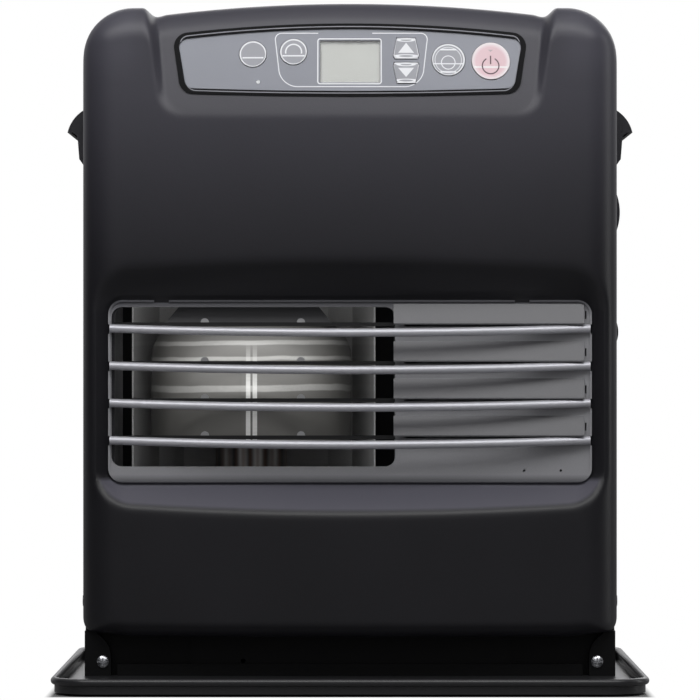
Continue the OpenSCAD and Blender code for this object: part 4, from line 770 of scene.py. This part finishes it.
class HEATER_OT_console(bpy.types.Operator):
    """Finishes the control panel: bezel, printed fascia, keys, display and lamp"""

    bl_idname = "heater.console"
    bl_label = "Control panel finishes"

    WHITE = (0.86, 0.87, 0.9, 1.0)
    CAP_LIFT = 0.4
    KEY_FLANGE = 1.0
    RIM_INSET = 0.4
    RIM_WIDTH = 0.9
    GROUP_X = 0.8
    GROUP_HALF_W = 46.2
    GROUP_HALF_H = 17.4
    GROUP_SLANT = 0.115
    UPPER_CORNER = 4.5
    LOWER_CORNER = 10.5
    DISPLAY_CORNER = 1.5
    ARROW_KEY_HALF_W = 7.1
    ARROW_KEY_HALF_H = 6.2
    ARROW_KEY_SLANT = 0.176
    ARROW_HALF_W = 5.0

    def execute(self, context):
        look = context.scene.heater_console
        cover(self.bezel(), "console_bezel")
        cover(self.fascia(look), "console_fascia")
        led = plastic("led_clear", (0.7, 0.72, 0.74), grain=2000.0, rough=0.2, depth=0.00001)
        cover(led, "led_lens")
        cover(self.window(), "lcd_window")
        cover(self.display(), "lcd_module")
        cover(self.board(), "control_board", "power_board")
        cover(self.timer_key(look), "key_timer")
        cover(self.save_key(look), "key_save")
        cover(self.arrow_key(look, "key_up", 1.0), "key_up")
        cover(self.arrow_key(look, "key_down", -1.0), "key_down")
        cover(self.lock_key(look), "key_lock")
        cover(self.power_key(look), "key_power")
        return {"FINISHED"}

    def silver(self, name, colour):
        """Fine satin silver of the fascia and the keys."""
        return plastic(name, colour, grain=1800.0, rough=0.36, depth=0.00002)

    def bezel(self):
        """Gloss black with a painted highlight: the pale line along its step."""
        black = (0.006, 0.006, 0.007)
        finish = plastic("bezel_plastic", black, grain=900.0, rough=0.3, depth=0.00001)
        finish.set(Specular_IOR_Level=0.06)
        low, high = extent_mm("console_bezel")
        arch = arc_radius(high[0], BezelOutline.FALL)
        dish = arc_radius(high[0], BezelOutline.SMILE)
        over = finish.distance(high[2] - arch) - arch
        under = finish.distance(low[2] + dish) - dish
        lean = BezelOutline.SLANT / (high[2] - low[2])
        side = abs(finish.x) - (high[0] - (high[2] - finish.z) * lean)
        depth = over.larger(under).rounded(side, BezelOutline.RADIUS)
        # Painted highlight: a pale line along the bezel's step
        finish.ink(rgb(0.3, 0.3, 0.33), abs(depth + 2.0).soft_below(0.3, 0.25))
        return finish

    def fascia(self, look):
        """Satin silver with white outlines round the middle group and the display."""
        finish = self.silver("fascia_silver", look.fascia)
        finish.centre_on("console_bezel")
        up = finish.z / finish.tilt
        side = abs(finish.x - self.GROUP_X) - self.GROUP_HALF_W - up * self.GROUP_SLANT
        corner = (up < 0.0) * (self.LOWER_CORNER - self.UPPER_CORNER) + self.UPPER_CORNER
        group = side.rounded(abs(up) - self.GROUP_HALF_H, corner)
        bare = finish.block(17.0, half_w=17.0, half_h=3.0, x=-3.0)
        finish.ink(self.WHITE, abs(group).soft_below(look.ink / 2, 0.2) * (1.0 - bare))
        low, high = extent_mm("lcd_window")
        half_w = (high[0] - low[0]) / 2 + 1.1
        half_h = (high[2] - low[2]) / (2 * finish.tilt) + 0.9
        side = abs(finish.x + 0.3) - half_w
        display = side.rounded(abs(up + 0.9) - half_h, self.DISPLAY_CORNER)
        finish.ink(self.WHITE, abs(display).soft_below(look.ink * 0.6, 0.2))
        return finish

    def centred(self, finish, node):
        """Centres a finish on a round key's cap and gives the cap's radius."""
        return finish.centre_on(node, self.CAP_LIFT) - self.KEY_FLANGE

    def rim(self, finish, radius):
        """1 on the rim of a round cap."""
        return finish.ring(0.0, radius - self.RIM_INSET, self.RIM_WIDTH)

    def timer_key(self, look):
        """White rim and one bar."""
        finish = self.silver("timer_key", look.keys)
        rim = self.rim(finish, self.centred(finish, "key_timer"))
        finish.ink(self.WHITE, rim, finish.block(-2.2, half_w=6.6, half_h=0.45))
        return finish

    def save_key(self, look):
        """White rim, a bar and an arc over it."""
        finish = self.silver("save_key", look.keys)
        rim = self.rim(finish, self.centred(finish, "key_save"))
        arc = finish.ring(0.0, radius=5.0, width=0.9) * (finish.z > -1.0)
        finish.ink(self.WHITE, rim, arc, finish.block(-2.4, half_w=7.0, half_h=0.45))
        return finish

    def arrow_key(self, look, node, wide):
        """Outline that follows the key, a solid triangle and two flat lenses."""
        finish = self.silver(node + "_finish", look.keys)
        finish.centre_on(node, self.CAP_LIFT)
        across = abs(finish.x)
        up = finish.z / finish.tilt
        side = across - self.ARROW_KEY_HALF_W + up * (wide * self.ARROW_KEY_SLANT)
        edge = side.larger(abs(up) - self.ARROW_KEY_HALF_H)
        tip, base = (3.8, -2.8) if wide > 0 else (-2.6, 3.4)
        slope = self.ARROW_HALF_W / (tip - base)
        arrow = (across - (tip - up) * slope).larger((base - up) * wide)
        marks = [abs(edge).soft_below(0.35, 0.15), arrow.soft_below(0.0, 0.3)]
        for place, half in ((-4.9, 6.2), (5.6, 4.8)):
            lens = ((across / half) ** 2.0 + (abs(up - place) / 0.9) ** 2.0).root()
            marks.append(abs(lens - 1.0).soft_below(0.3, 0.2))
        finish.ink(self.WHITE, *marks)
        return finish

    def lock_key(self, look):
        """Two white rims, a bar across, a small ring on it and short bars above and below."""
        finish = self.silver("lock_key", look.keys)
        radius = self.centred(finish, "key_lock")
        inner = finish.ring(0.0, radius=radius - 2.0, width=0.5) * 0.8
        small = finish.ring(-1.6, radius=4.3, width=0.6)
        bar = finish.block(-2.4, half_w=9.2, half_h=0.35)
        short = [finish.block(place, half_w=5.0, half_h=0.5) for place in (6.6, -7.6)]
        finish.ink(self.WHITE, self.rim(finish, radius), inner, small, bar, *short)
        return finish

    def power_key(self, look):
        """Rose key: white rim, pale gleam, a dark open ring round a bar, a grey wedge on top."""
        finish = plastic("power_key", look.power, grain=1800.0, rough=0.34, depth=0.00002)
        radius = self.centred(finish, "key_power")
        middle = finish.distance(0.0).soft_below(radius - 1.6, 2.4)
        finish.ink(rgb(0.92, 0.86, 0.88), (1.0 - middle) * 0.9)
        gleam = finish.block(-3.6, half_w=10.5, half_h=0.6, soft=0.5)
        finish.ink(rgb(0.95, 0.93, 0.94), gleam * 0.8)
        gap = finish.block(2.0, half_w=2.6, half_h=1.6)
        ring = finish.ring(-2.8, radius=5.2, width=0.8) * (1.0 - gap)
        finish.ink(rgb(0.09, 0.03, 0.045), ring, finish.block(0.9, half_w=0.4, half_h=2.7))
        wedge = (abs(finish.x) * 0.9 - finish.z + 6.0).larger(finish.z - 7.4)
        finish.ink(rgb(0.3, 0.28, 0.3), wedge.soft_below(0.0, 0.3) * 0.5)
        return finish

    def window(self):
        """Clear sheet: mostly see-through, with a thin film of gloss and dust."""
        finish = Finish("lcd_clear")
        dust = finish.noise(400.0)
        clear = finish.node("BsdfTransparent")
        finish.blend(dust * 0.04 + 0.12, clear, finish.shader)
        tone = finish.mix(dust, rgb(0.8, 0.82, 0.8), rgb(0.9, 0.9, 0.9))
        finish.set(Base_Color=tone, Roughness=dust * 0.05 + 0.05)
        return finish

    def display(self):
        """Pale grey field with faint ruled rows and the frame's shade at its top and left."""
        finish = Finish("lcd_grey")
        low, high = extent_mm("lcd_window")
        cloud = finish.noise(40.0, 2.0)
        rows = ((finish.z * 12.0).sine() * 0.5 + 0.5) * 0.15
        finish.set(
            Base_Color=finish.mix(cloud * 0.6 + rows, rgb(0.54, 0.55, 0.51), rgb(0.61, 0.62, 0.59)),
            Roughness=cloud * 0.1 + 0.3,
        )
        shade_top = (finish.z - high[2]) * 0.45 + 1.3
        shade_left = (low[0] - finish.x) * 0.6 + 0.9
        finish.ink(rgb(0.06, 0.06, 0.07), shade_top.larger(shade_left).clamped() * 0.75)
        return finish

    def board(self):
        """Green board with darker conductor runs."""
        finish = Finish("board_green")
        runs = Field(finish, finish.cells(220.0, "DISTANCE_TO_EDGE"))
        cloud = finish.noise(60.0, 2.0)
        finish.set(
            Base_Color=finish.mix(runs * 9.0, rgb(0.05, 0.22, 0.1), rgb(0.02, 0.1, 0.045)),
            Roughness=cloud * 0.2 + 0.25,
        )
        finish.bump(runs, 0.4, 0.0001)
        return finish


class HEATER_OT_grille(bpy.types.Operator):
    """Finishes the grille: frame, louvres, bars, slats and clips"""

    bl_idname = "heater.grille"
    bl_label = "Grille finishes"

    def execute(self, context):
        cover(self.plate(), "grille_frame")
        louvre = paint("louvre_paint", (0.115, 0.115, 0.124), grain=1100.0, rough=0.36)
        cover(louvre, "louvre_blades")
        cover(self.bar(), "grille_bars")
        cover(paint("slat_paint", (0.008, 0.008, 0.009), rough=0.5), "guard_slats")
        cover(satin("clip_steel", (0.42, 0.42, 0.43)), "slat_clips", "tank_handle", "strainer")
        return {"FINISHED"}

    def plate(self):
        """Grey paint with painted shade along the upper border, under the pocket's top, and darker
        along the lower border.
        """
        low, high = (corner[2] for corner in extent_mm("grille_frame"))
        finish = paint("frame_paint", (0.31, 0.31, 0.326), grain=1100.0, rough=0.36)
        # Painted shade: darker under the pocket's top along the upper border, and darker along the
        # lower border
        lit = (high - finish.z).ramp(2.0, 9.0) * finish.z.ramp(low, 5.0)
        finish.set(Base_Color=finish.mix(lit, rgb(0.085, 0.085, 0.095), finish.tone))
        return finish

    def bar(self):
        """Silver paint: fine metal flakes under a satin top."""
        finish = paint("bar_paint", (0.56, 0.56, 0.6), grain=1500.0, rough=0.48, depth=0.00002)
        finish.set(Metallic=0.55)
        return finish


class HEATER_OT_burner(bpy.types.Operator):
    """Finishes the warm-air chamber, the burner, the blower and the motors"""

    bl_idname = "heater.burner"
    bl_label = "Burner finishes"

    # Each glint's drop below the drum's top and half its height
    GLINTS = ((16.0, 1.4), (26.0, 1.2), (45.0, 2.0))

    def execute(self, context):
        cover(self.shroud(), "chamber_shroud")
        sheet = spangle("galvanised", (0.42, 0.42, 0.43))
        cover(sheet, "chamber_floor", "electronics_shelf", "blower_housing")
        cover(self.reflector(), "reflector")
        cover(self.drum(), "burner_drum")
        cover(self.neck(), "burner_neck")
        cover(brushed("pot_steel", (0.3, 0.27, 0.24), "z", rough=0.45, streak=0.4), "burner_pot")
        ceramic = plastic("ceramic", (0.78, 0.75, 0.68), grain=600.0, rough=0.3, depth=0.00003)
        cover(ceramic, "igniter", "flame_sensor", "overheat_thermostat")
        motor = paint("motor_steel", (0.1, 0.1, 0.11), grain=800.0, rough=0.4)
        cover(motor, "blower_motor", "fan_motor")
        cover(brushed("fan_alloy", (0.6, 0.61, 0.63)), "blower_wheel", "fan_blade")
        return {"FINISHED"}

    def shroud(self):
        """Dull sheet with painted shade: darker on the baffle in front than on the rear wall."""
        low, high = extent_mm("chamber_shroud")
        finish = satin("shroud_steel", (0.55, 0.55, 0.56))
        half = (high[1] - low[1]) / 2
        # Painted shade on the front baffle; the rear wall keeps the sheet's paler tone
        behind = finish.y.ramp(low[1] + half, half)
        finish.set(Base_Color=finish.mix(behind, rgb(0.1, 0.1, 0.105), finish.tone))
        return finish

    def neck(self):
        """Polished tube with upright dark and pale stripes of painted reflection, and straw
        stripes.
        """
        finish = Finish("neck_steel")
        wander = finish.noise(20.0)
        # Painted reflection: dark and pale upright stripes, with straw stripes over them
        first = (finish.x * 0.62 + wander).sine() * 0.5 + 0.6
        second = (finish.x * 1.37 + wander * 2.0).sine() * 0.5 + 0.5
        tone = finish.mix(first, rgb(0.02, 0.02, 0.02), rgb(0.95, 0.93, 0.9))
        tone = finish.mix(second * 0.5, tone, rgb(0.2, 0.09, 0.05))
        finish.set(Base_Color=tone, Roughness=wander * 0.2 + 0.25, Metallic=0.5)
        finish.bump(wander, 0.2, 0.0005)
        return finish

    def glints(self, finish, wander):
        """Thin level glints at three drops below the drum's top, a little warped."""
        level = finish.z + (wander - 0.5) * 5.0 - extent_mm("burner_drum")[1][2]
        return largest(abs(level + drop).soft_below(half, 0.8) for drop, half in self.GLINTS)

    def reflector(self):
        """Pale satin sheet with level glints and a warped skin; its pale tone is painted
        reflection, paler towards the bottom.
        """
        finish = Finish("reflector_sheet")
        low, high = extent_mm("reflector")
        wander = finish.noise(12.0, 2.0)
        level = finish.z.ramp(low[2], high[2] - low[2])
        scratch = finish.noise(1400.0, 2.0, (0.05, 1, 1))
        # Painted reflection: a pale tone, paler towards the bottom, with level glints
        tone = finish.mix(level, rgb(0.95, 0.945, 0.94), rgb(0.85, 0.845, 0.84))
        tone = finish.mix(self.glints(finish, wander), tone, rgb(0.95, 0.95, 0.94))
        finish.set(
            Base_Color=finish.mix(scratch * 0.3, tone, rgb(0.3, 0.29, 0.28)),
            Roughness=(scratch - 0.5) * 0.15 + wander * 0.1 + 0.4,
        )
        finish.bump(wander, 0.3, 0.001)
        return finish

    def drum(self):
        """Satin drum with level glints, a painted highlight of two bright upright lines in front,
        and a faint painted tone shift towards its top and sides.
        """
        finish = Finish("drum_steel")
        low, high = extent_mm("burner_drum")
        level = finish.z.ramp(low[2], high[2] - low[2])
        wander = finish.noise(14.0)
        scratch = finish.noise(1200.0, 2.0, (0.05, 1, 1))
        across = finish.x - (low[0] + high[0]) / 2
        side = abs(across) / (high[0] - low[0]) * 2.0
        # Painted reflection: a faint shift of tone towards the drum's top and sides
        pale = level * level * 0.6 + side * side * 0.4 + (wander - 0.5) * 0.3
        tone = finish.mix(pale.clamped(), rgb(0.16, 0.157, 0.148), rgb(0.15, 0.147, 0.14))
        tone = finish.mix(self.glints(finish, wander) * 0.4, tone, rgb(0.8, 0.795, 0.77))
        # Painted highlight: two bright upright lines down the drum's front, fading towards its top
        lines = (abs(abs(across - 1.6) - 2.1) - 1.4).soft_below(0.0, 0.3)
        upright_highlight = lines * (finish.y < low[1] + 12.0)
        tone = finish.mix(upright_highlight * (0.8 - level).clamped() * 2.0, tone, rgb(0.95, 0.95, 0.93))
        finish.set(
            Base_Color=finish.mix(scratch * 0.3, tone, rgb(0.12, 0.118, 0.11)),
            Roughness=(scratch - 0.5) * 0.12 + wander * 0.1 + 0.35,
        )
        finish.bump(wander, 0.25, 0.0012)
        return finish


class HEATER_OT_rear(bpy.types.Operator):
    """Finishes the fan guard, the filter, the sensors, the transformer and the screws"""

    bl_idname = "heater.rear"
    bl_label = "Rear and screw finishes"

    def execute(self, context):
        cover(plastic("guard_plastic", (0.045, 0.045, 0.05)), "fan_guard")
        cover(plastic("filter_plastic", (0.09, 0.09, 0.1)), "fan_filter")
        cover(plastic("sensor_plastic", (0.7, 0.7, 0.68)), "room_sensor", "tilt_switch")
        cover(brushed("core_steel", (0.2, 0.14, 0.08), "y", rough=0.5, streak=0.5), "transformer")
        cover(brushed("screw_zinc", (0.66, 0.67, 0.7), "y", rough=0.25), "front_screws")
        cover(brushed("screw_dark", (0.12, 0.12, 0.13), "y", rough=0.4, streak=0.3), "case_screws")
        return {"FINISHED"}


class HEATER_OT_fuel(bpy.types.Operator):
    """Finishes the tank, its cap, the sump, the pump and the pipe"""

    bl_idname = "heater.fuel"
    bl_label = "Fuel side finishes"

    def execute(self, context):
        tank = brushed("tank_steel", (0.42, 0.43, 0.45), "z", rough=0.4, streak=0.15)
        cover(tank, "fuel_tank", "sump_tank")
        cover(brushed("cap_brass", (0.62, 0.5, 0.22), "z", streak=0.25), "tank_cap")
        cover(brushed("pump_steel", (0.5, 0.51, 0.53), "z"), "fuel_pump")
        cover(brushed("copper", (0.62, 0.32, 0.18), rough=0.3), "fuel_pipe")
        return {"FINISHED"}


class HEATER_OT_studio(bpy.types.Operator):
    """Sets up the floor, the lights, the sky and the camera"""

    bl_idname = "heater.studio"
    bl_label = "Studio"

    CAMERA_DISTANCE = 2.5
    CAMERA_HEIGHT = 0.207
    FOCAL_PIXELS = 4075.0
    PICTURE = 700.0
    SENSOR = 36.0
    HORIZON_DROP = 10.0
    FLOOR_HALF = 6.0
    SHADE_EDGE = 5.0
    SLAT_GAP = 0.004
    WINDOW_LIFT = 0.022

    def execute(self, context):
        look = context.scene.heater_studio
        self.camera(context)
        self.floor()
        self.sky(context, look)
        self.lamp("key", look.key, (2.6, 2.0), place=(0.0, -1.8, 1.72), aim=(0.0, -0.1, 0.25))
        self.lamp("rim", look.rim, (0.4, 1.2), place=(1.6, 0.1, 0.5), aim=(0.17, -0.05, 0.25))
        self.lamp("back", look.back, (2.0, 1.2), place=(0.3, 2.2, 1.2), aim=(0.0, 0.1, 0.25))
        self.lamp("near", look.near, (1.4, 0.35), place=(0.0, -0.55, 0.8), aim=(0.0, -0.1, 0.3))
        self.lamp("ceiling", look.ceiling, (2.4, 1.6), place=(0.0, -0.8, 2.2), aim=(0.0, -0.8, 0.0))
        low, high = extent("burner_drum")
        x, _, z = (low + high) / 2
        inside = (x, extent("guard_slats")[1][1] + self.SLAT_GAP, z + self.WINDOW_LIFT)
        self.lamp("window_light", look.window, (0.16, 0.06), place=inside, aim=(x, high[1], z))
        context.scene.view_settings.view_transform = "Standard"
        return {"FINISHED"}

    def camera(self, context):
        data = bpy.data.cameras.new("camera")
        camera = add_object("camera", data)
        front = -extent("base_tray")[1][1]
        camera.location = (0.0, front - self.CAMERA_DISTANCE, self.CAMERA_HEIGHT)
        camera.rotation_euler = (math.pi / 2, 0.0, 0.0)
        data.sensor_width = self.SENSOR
        data.lens = self.SENSOR * self.FOCAL_PIXELS / self.PICTURE
        data.shift_y = self.HORIZON_DROP / self.PICTURE
        data.clip_end = 50.0
        context.scene.camera = camera

    def floor(self):
        """Grey floor that the camera sees as white, apart from under the tray."""
        size = self.FLOOR_HALF
        corners = [(-size, -size, 0), (size, -size, 0), (size, size, 0), (-size, size, 0)]
        mesh = bpy.data.meshes.new("floor")
        mesh.from_pydata(corners, [], [(0, 1, 2, 3)])
        plane = add_object("floor", mesh)
        finish = Finish("floor")
        cloud = finish.noise(3.0, 2.0)
        tone = finish.mix(cloud, rgb(0.23, 0.23, 0.23), rgb(0.27, 0.27, 0.27))
        finish.set(Base_Color=tone, Roughness=0.9)
        beneath = 1.0
        for place, half in zip((finish.x, finish.y), extent_mm("base_tray")[1]):
            beneath = abs(place).soft_below(half, self.SHADE_EDGE) * beneath
        seen = finish.node("LightPath").outputs["Is Camera Ray"]
        white = finish.node("Emission", {"Color": rgb(1, 1, 1)})
        finish.blend(Field(finish, seen) * (1.0 - beneath), finish.shader, white)
        plane.data.materials.append(finish.material)

    def sky(self, context, look):
        """World that is white to the camera and lights from above, behind and low in front."""
        world = bpy.data.worlds.new("sky")
        context.scene.world = world
        world.use_nodes = True
        make = Maker(world.node_tree, "OutputWorld")
        _, behind, up = make.parts(make.node("TexCoord").outputs["Generated"])
        above = (up * 1.6 - 0.3).clamped() * 0.48
        back = (behind * 2.5 - 1.0).clamped()
        front = (behind * -4.0 - 2.8).clamped() * (up * 5.0 + 0.4).clamped() * look.fill
        lit = above.larger(back).larger(front)
        tone = make.mix(lit, rgb(0.03, 0.03, 0.033), rgb(1.0, 1.0, 1.03))
        light = make.node("Background", {"Color": tone, "Strength": look.sky})
        white = make.node("Background", {"Color": rgb(1, 1, 1)})
        make.blend(make.node("LightPath").outputs["Is Camera Ray"], light, white)

    def lamp(self, name, power, size, place, aim):
        """Rectangular lamp at a place, turned towards what it lights."""
        data = bpy.data.lights.new(name, "AREA")
        data.shape = "RECTANGLE"
        data.size, data.size_y = size
        data.energy = power
        lamp = add_object(name, data)
        lamp.location = place
        lamp.visible_camera = False
        direction = Vector(aim) - Vector(place)
        lamp.rotation_euler = direction.to_track_quat("-Z", "Y").to_euler()


LOOKS = {
    "heater_cabinet": CabinetLook,
    "heater_console": ConsoleLook,
    "heater_studio": StudioLook,
    "heater_front": FrontShape,
}
STEPS = (
    HEATER_OT_cabinet,
    HEATER_OT_console,
    HEATER_OT_grille,
    HEATER_OT_burner,
    HEATER_OT_rear,
    HEATER_OT_fuel,
    HEATER_OT_studio,
)


class HEATER_PT_panel(bpy.types.Panel):
    """Sidebar panel with the looks' settings and steps"""

    bl_idname = "HEATER_PT_panel"
    bl_label = "Heater"
    bl_space_type = "VIEW_3D"
    bl_region_type = "UI"
    bl_category = "Heater"

    def draw(self, context):
        for group, kind in LOOKS.items():
            for name in kind.__annotations__:
                self.layout.prop(getattr(context.scene, group), name)
        for step in STEPS:
            self.layout.operator(step.bl_idname)


CLASSES = (*LOOKS.values(), *STEPS, HEATER_PT_panel)


def register():
    for kind in CLASSES:
        bpy.utils.register_class(kind)
    for group, kind in LOOKS.items():
        setattr(bpy.types.Scene, group, bpy.props.PointerProperty(type=kind))


def unregister():
    for group in LOOKS:
        delattr(bpy.types.Scene, group)
    for kind in reversed(CLASSES):
        bpy.utils.unregister_class(kind)


def main():
    register()
    for step in STEPS:
        family, name = step.bl_idname.split(".")
        getattr(getattr(bpy.ops, family), name)()


if __name__ == "__main__":
    main()
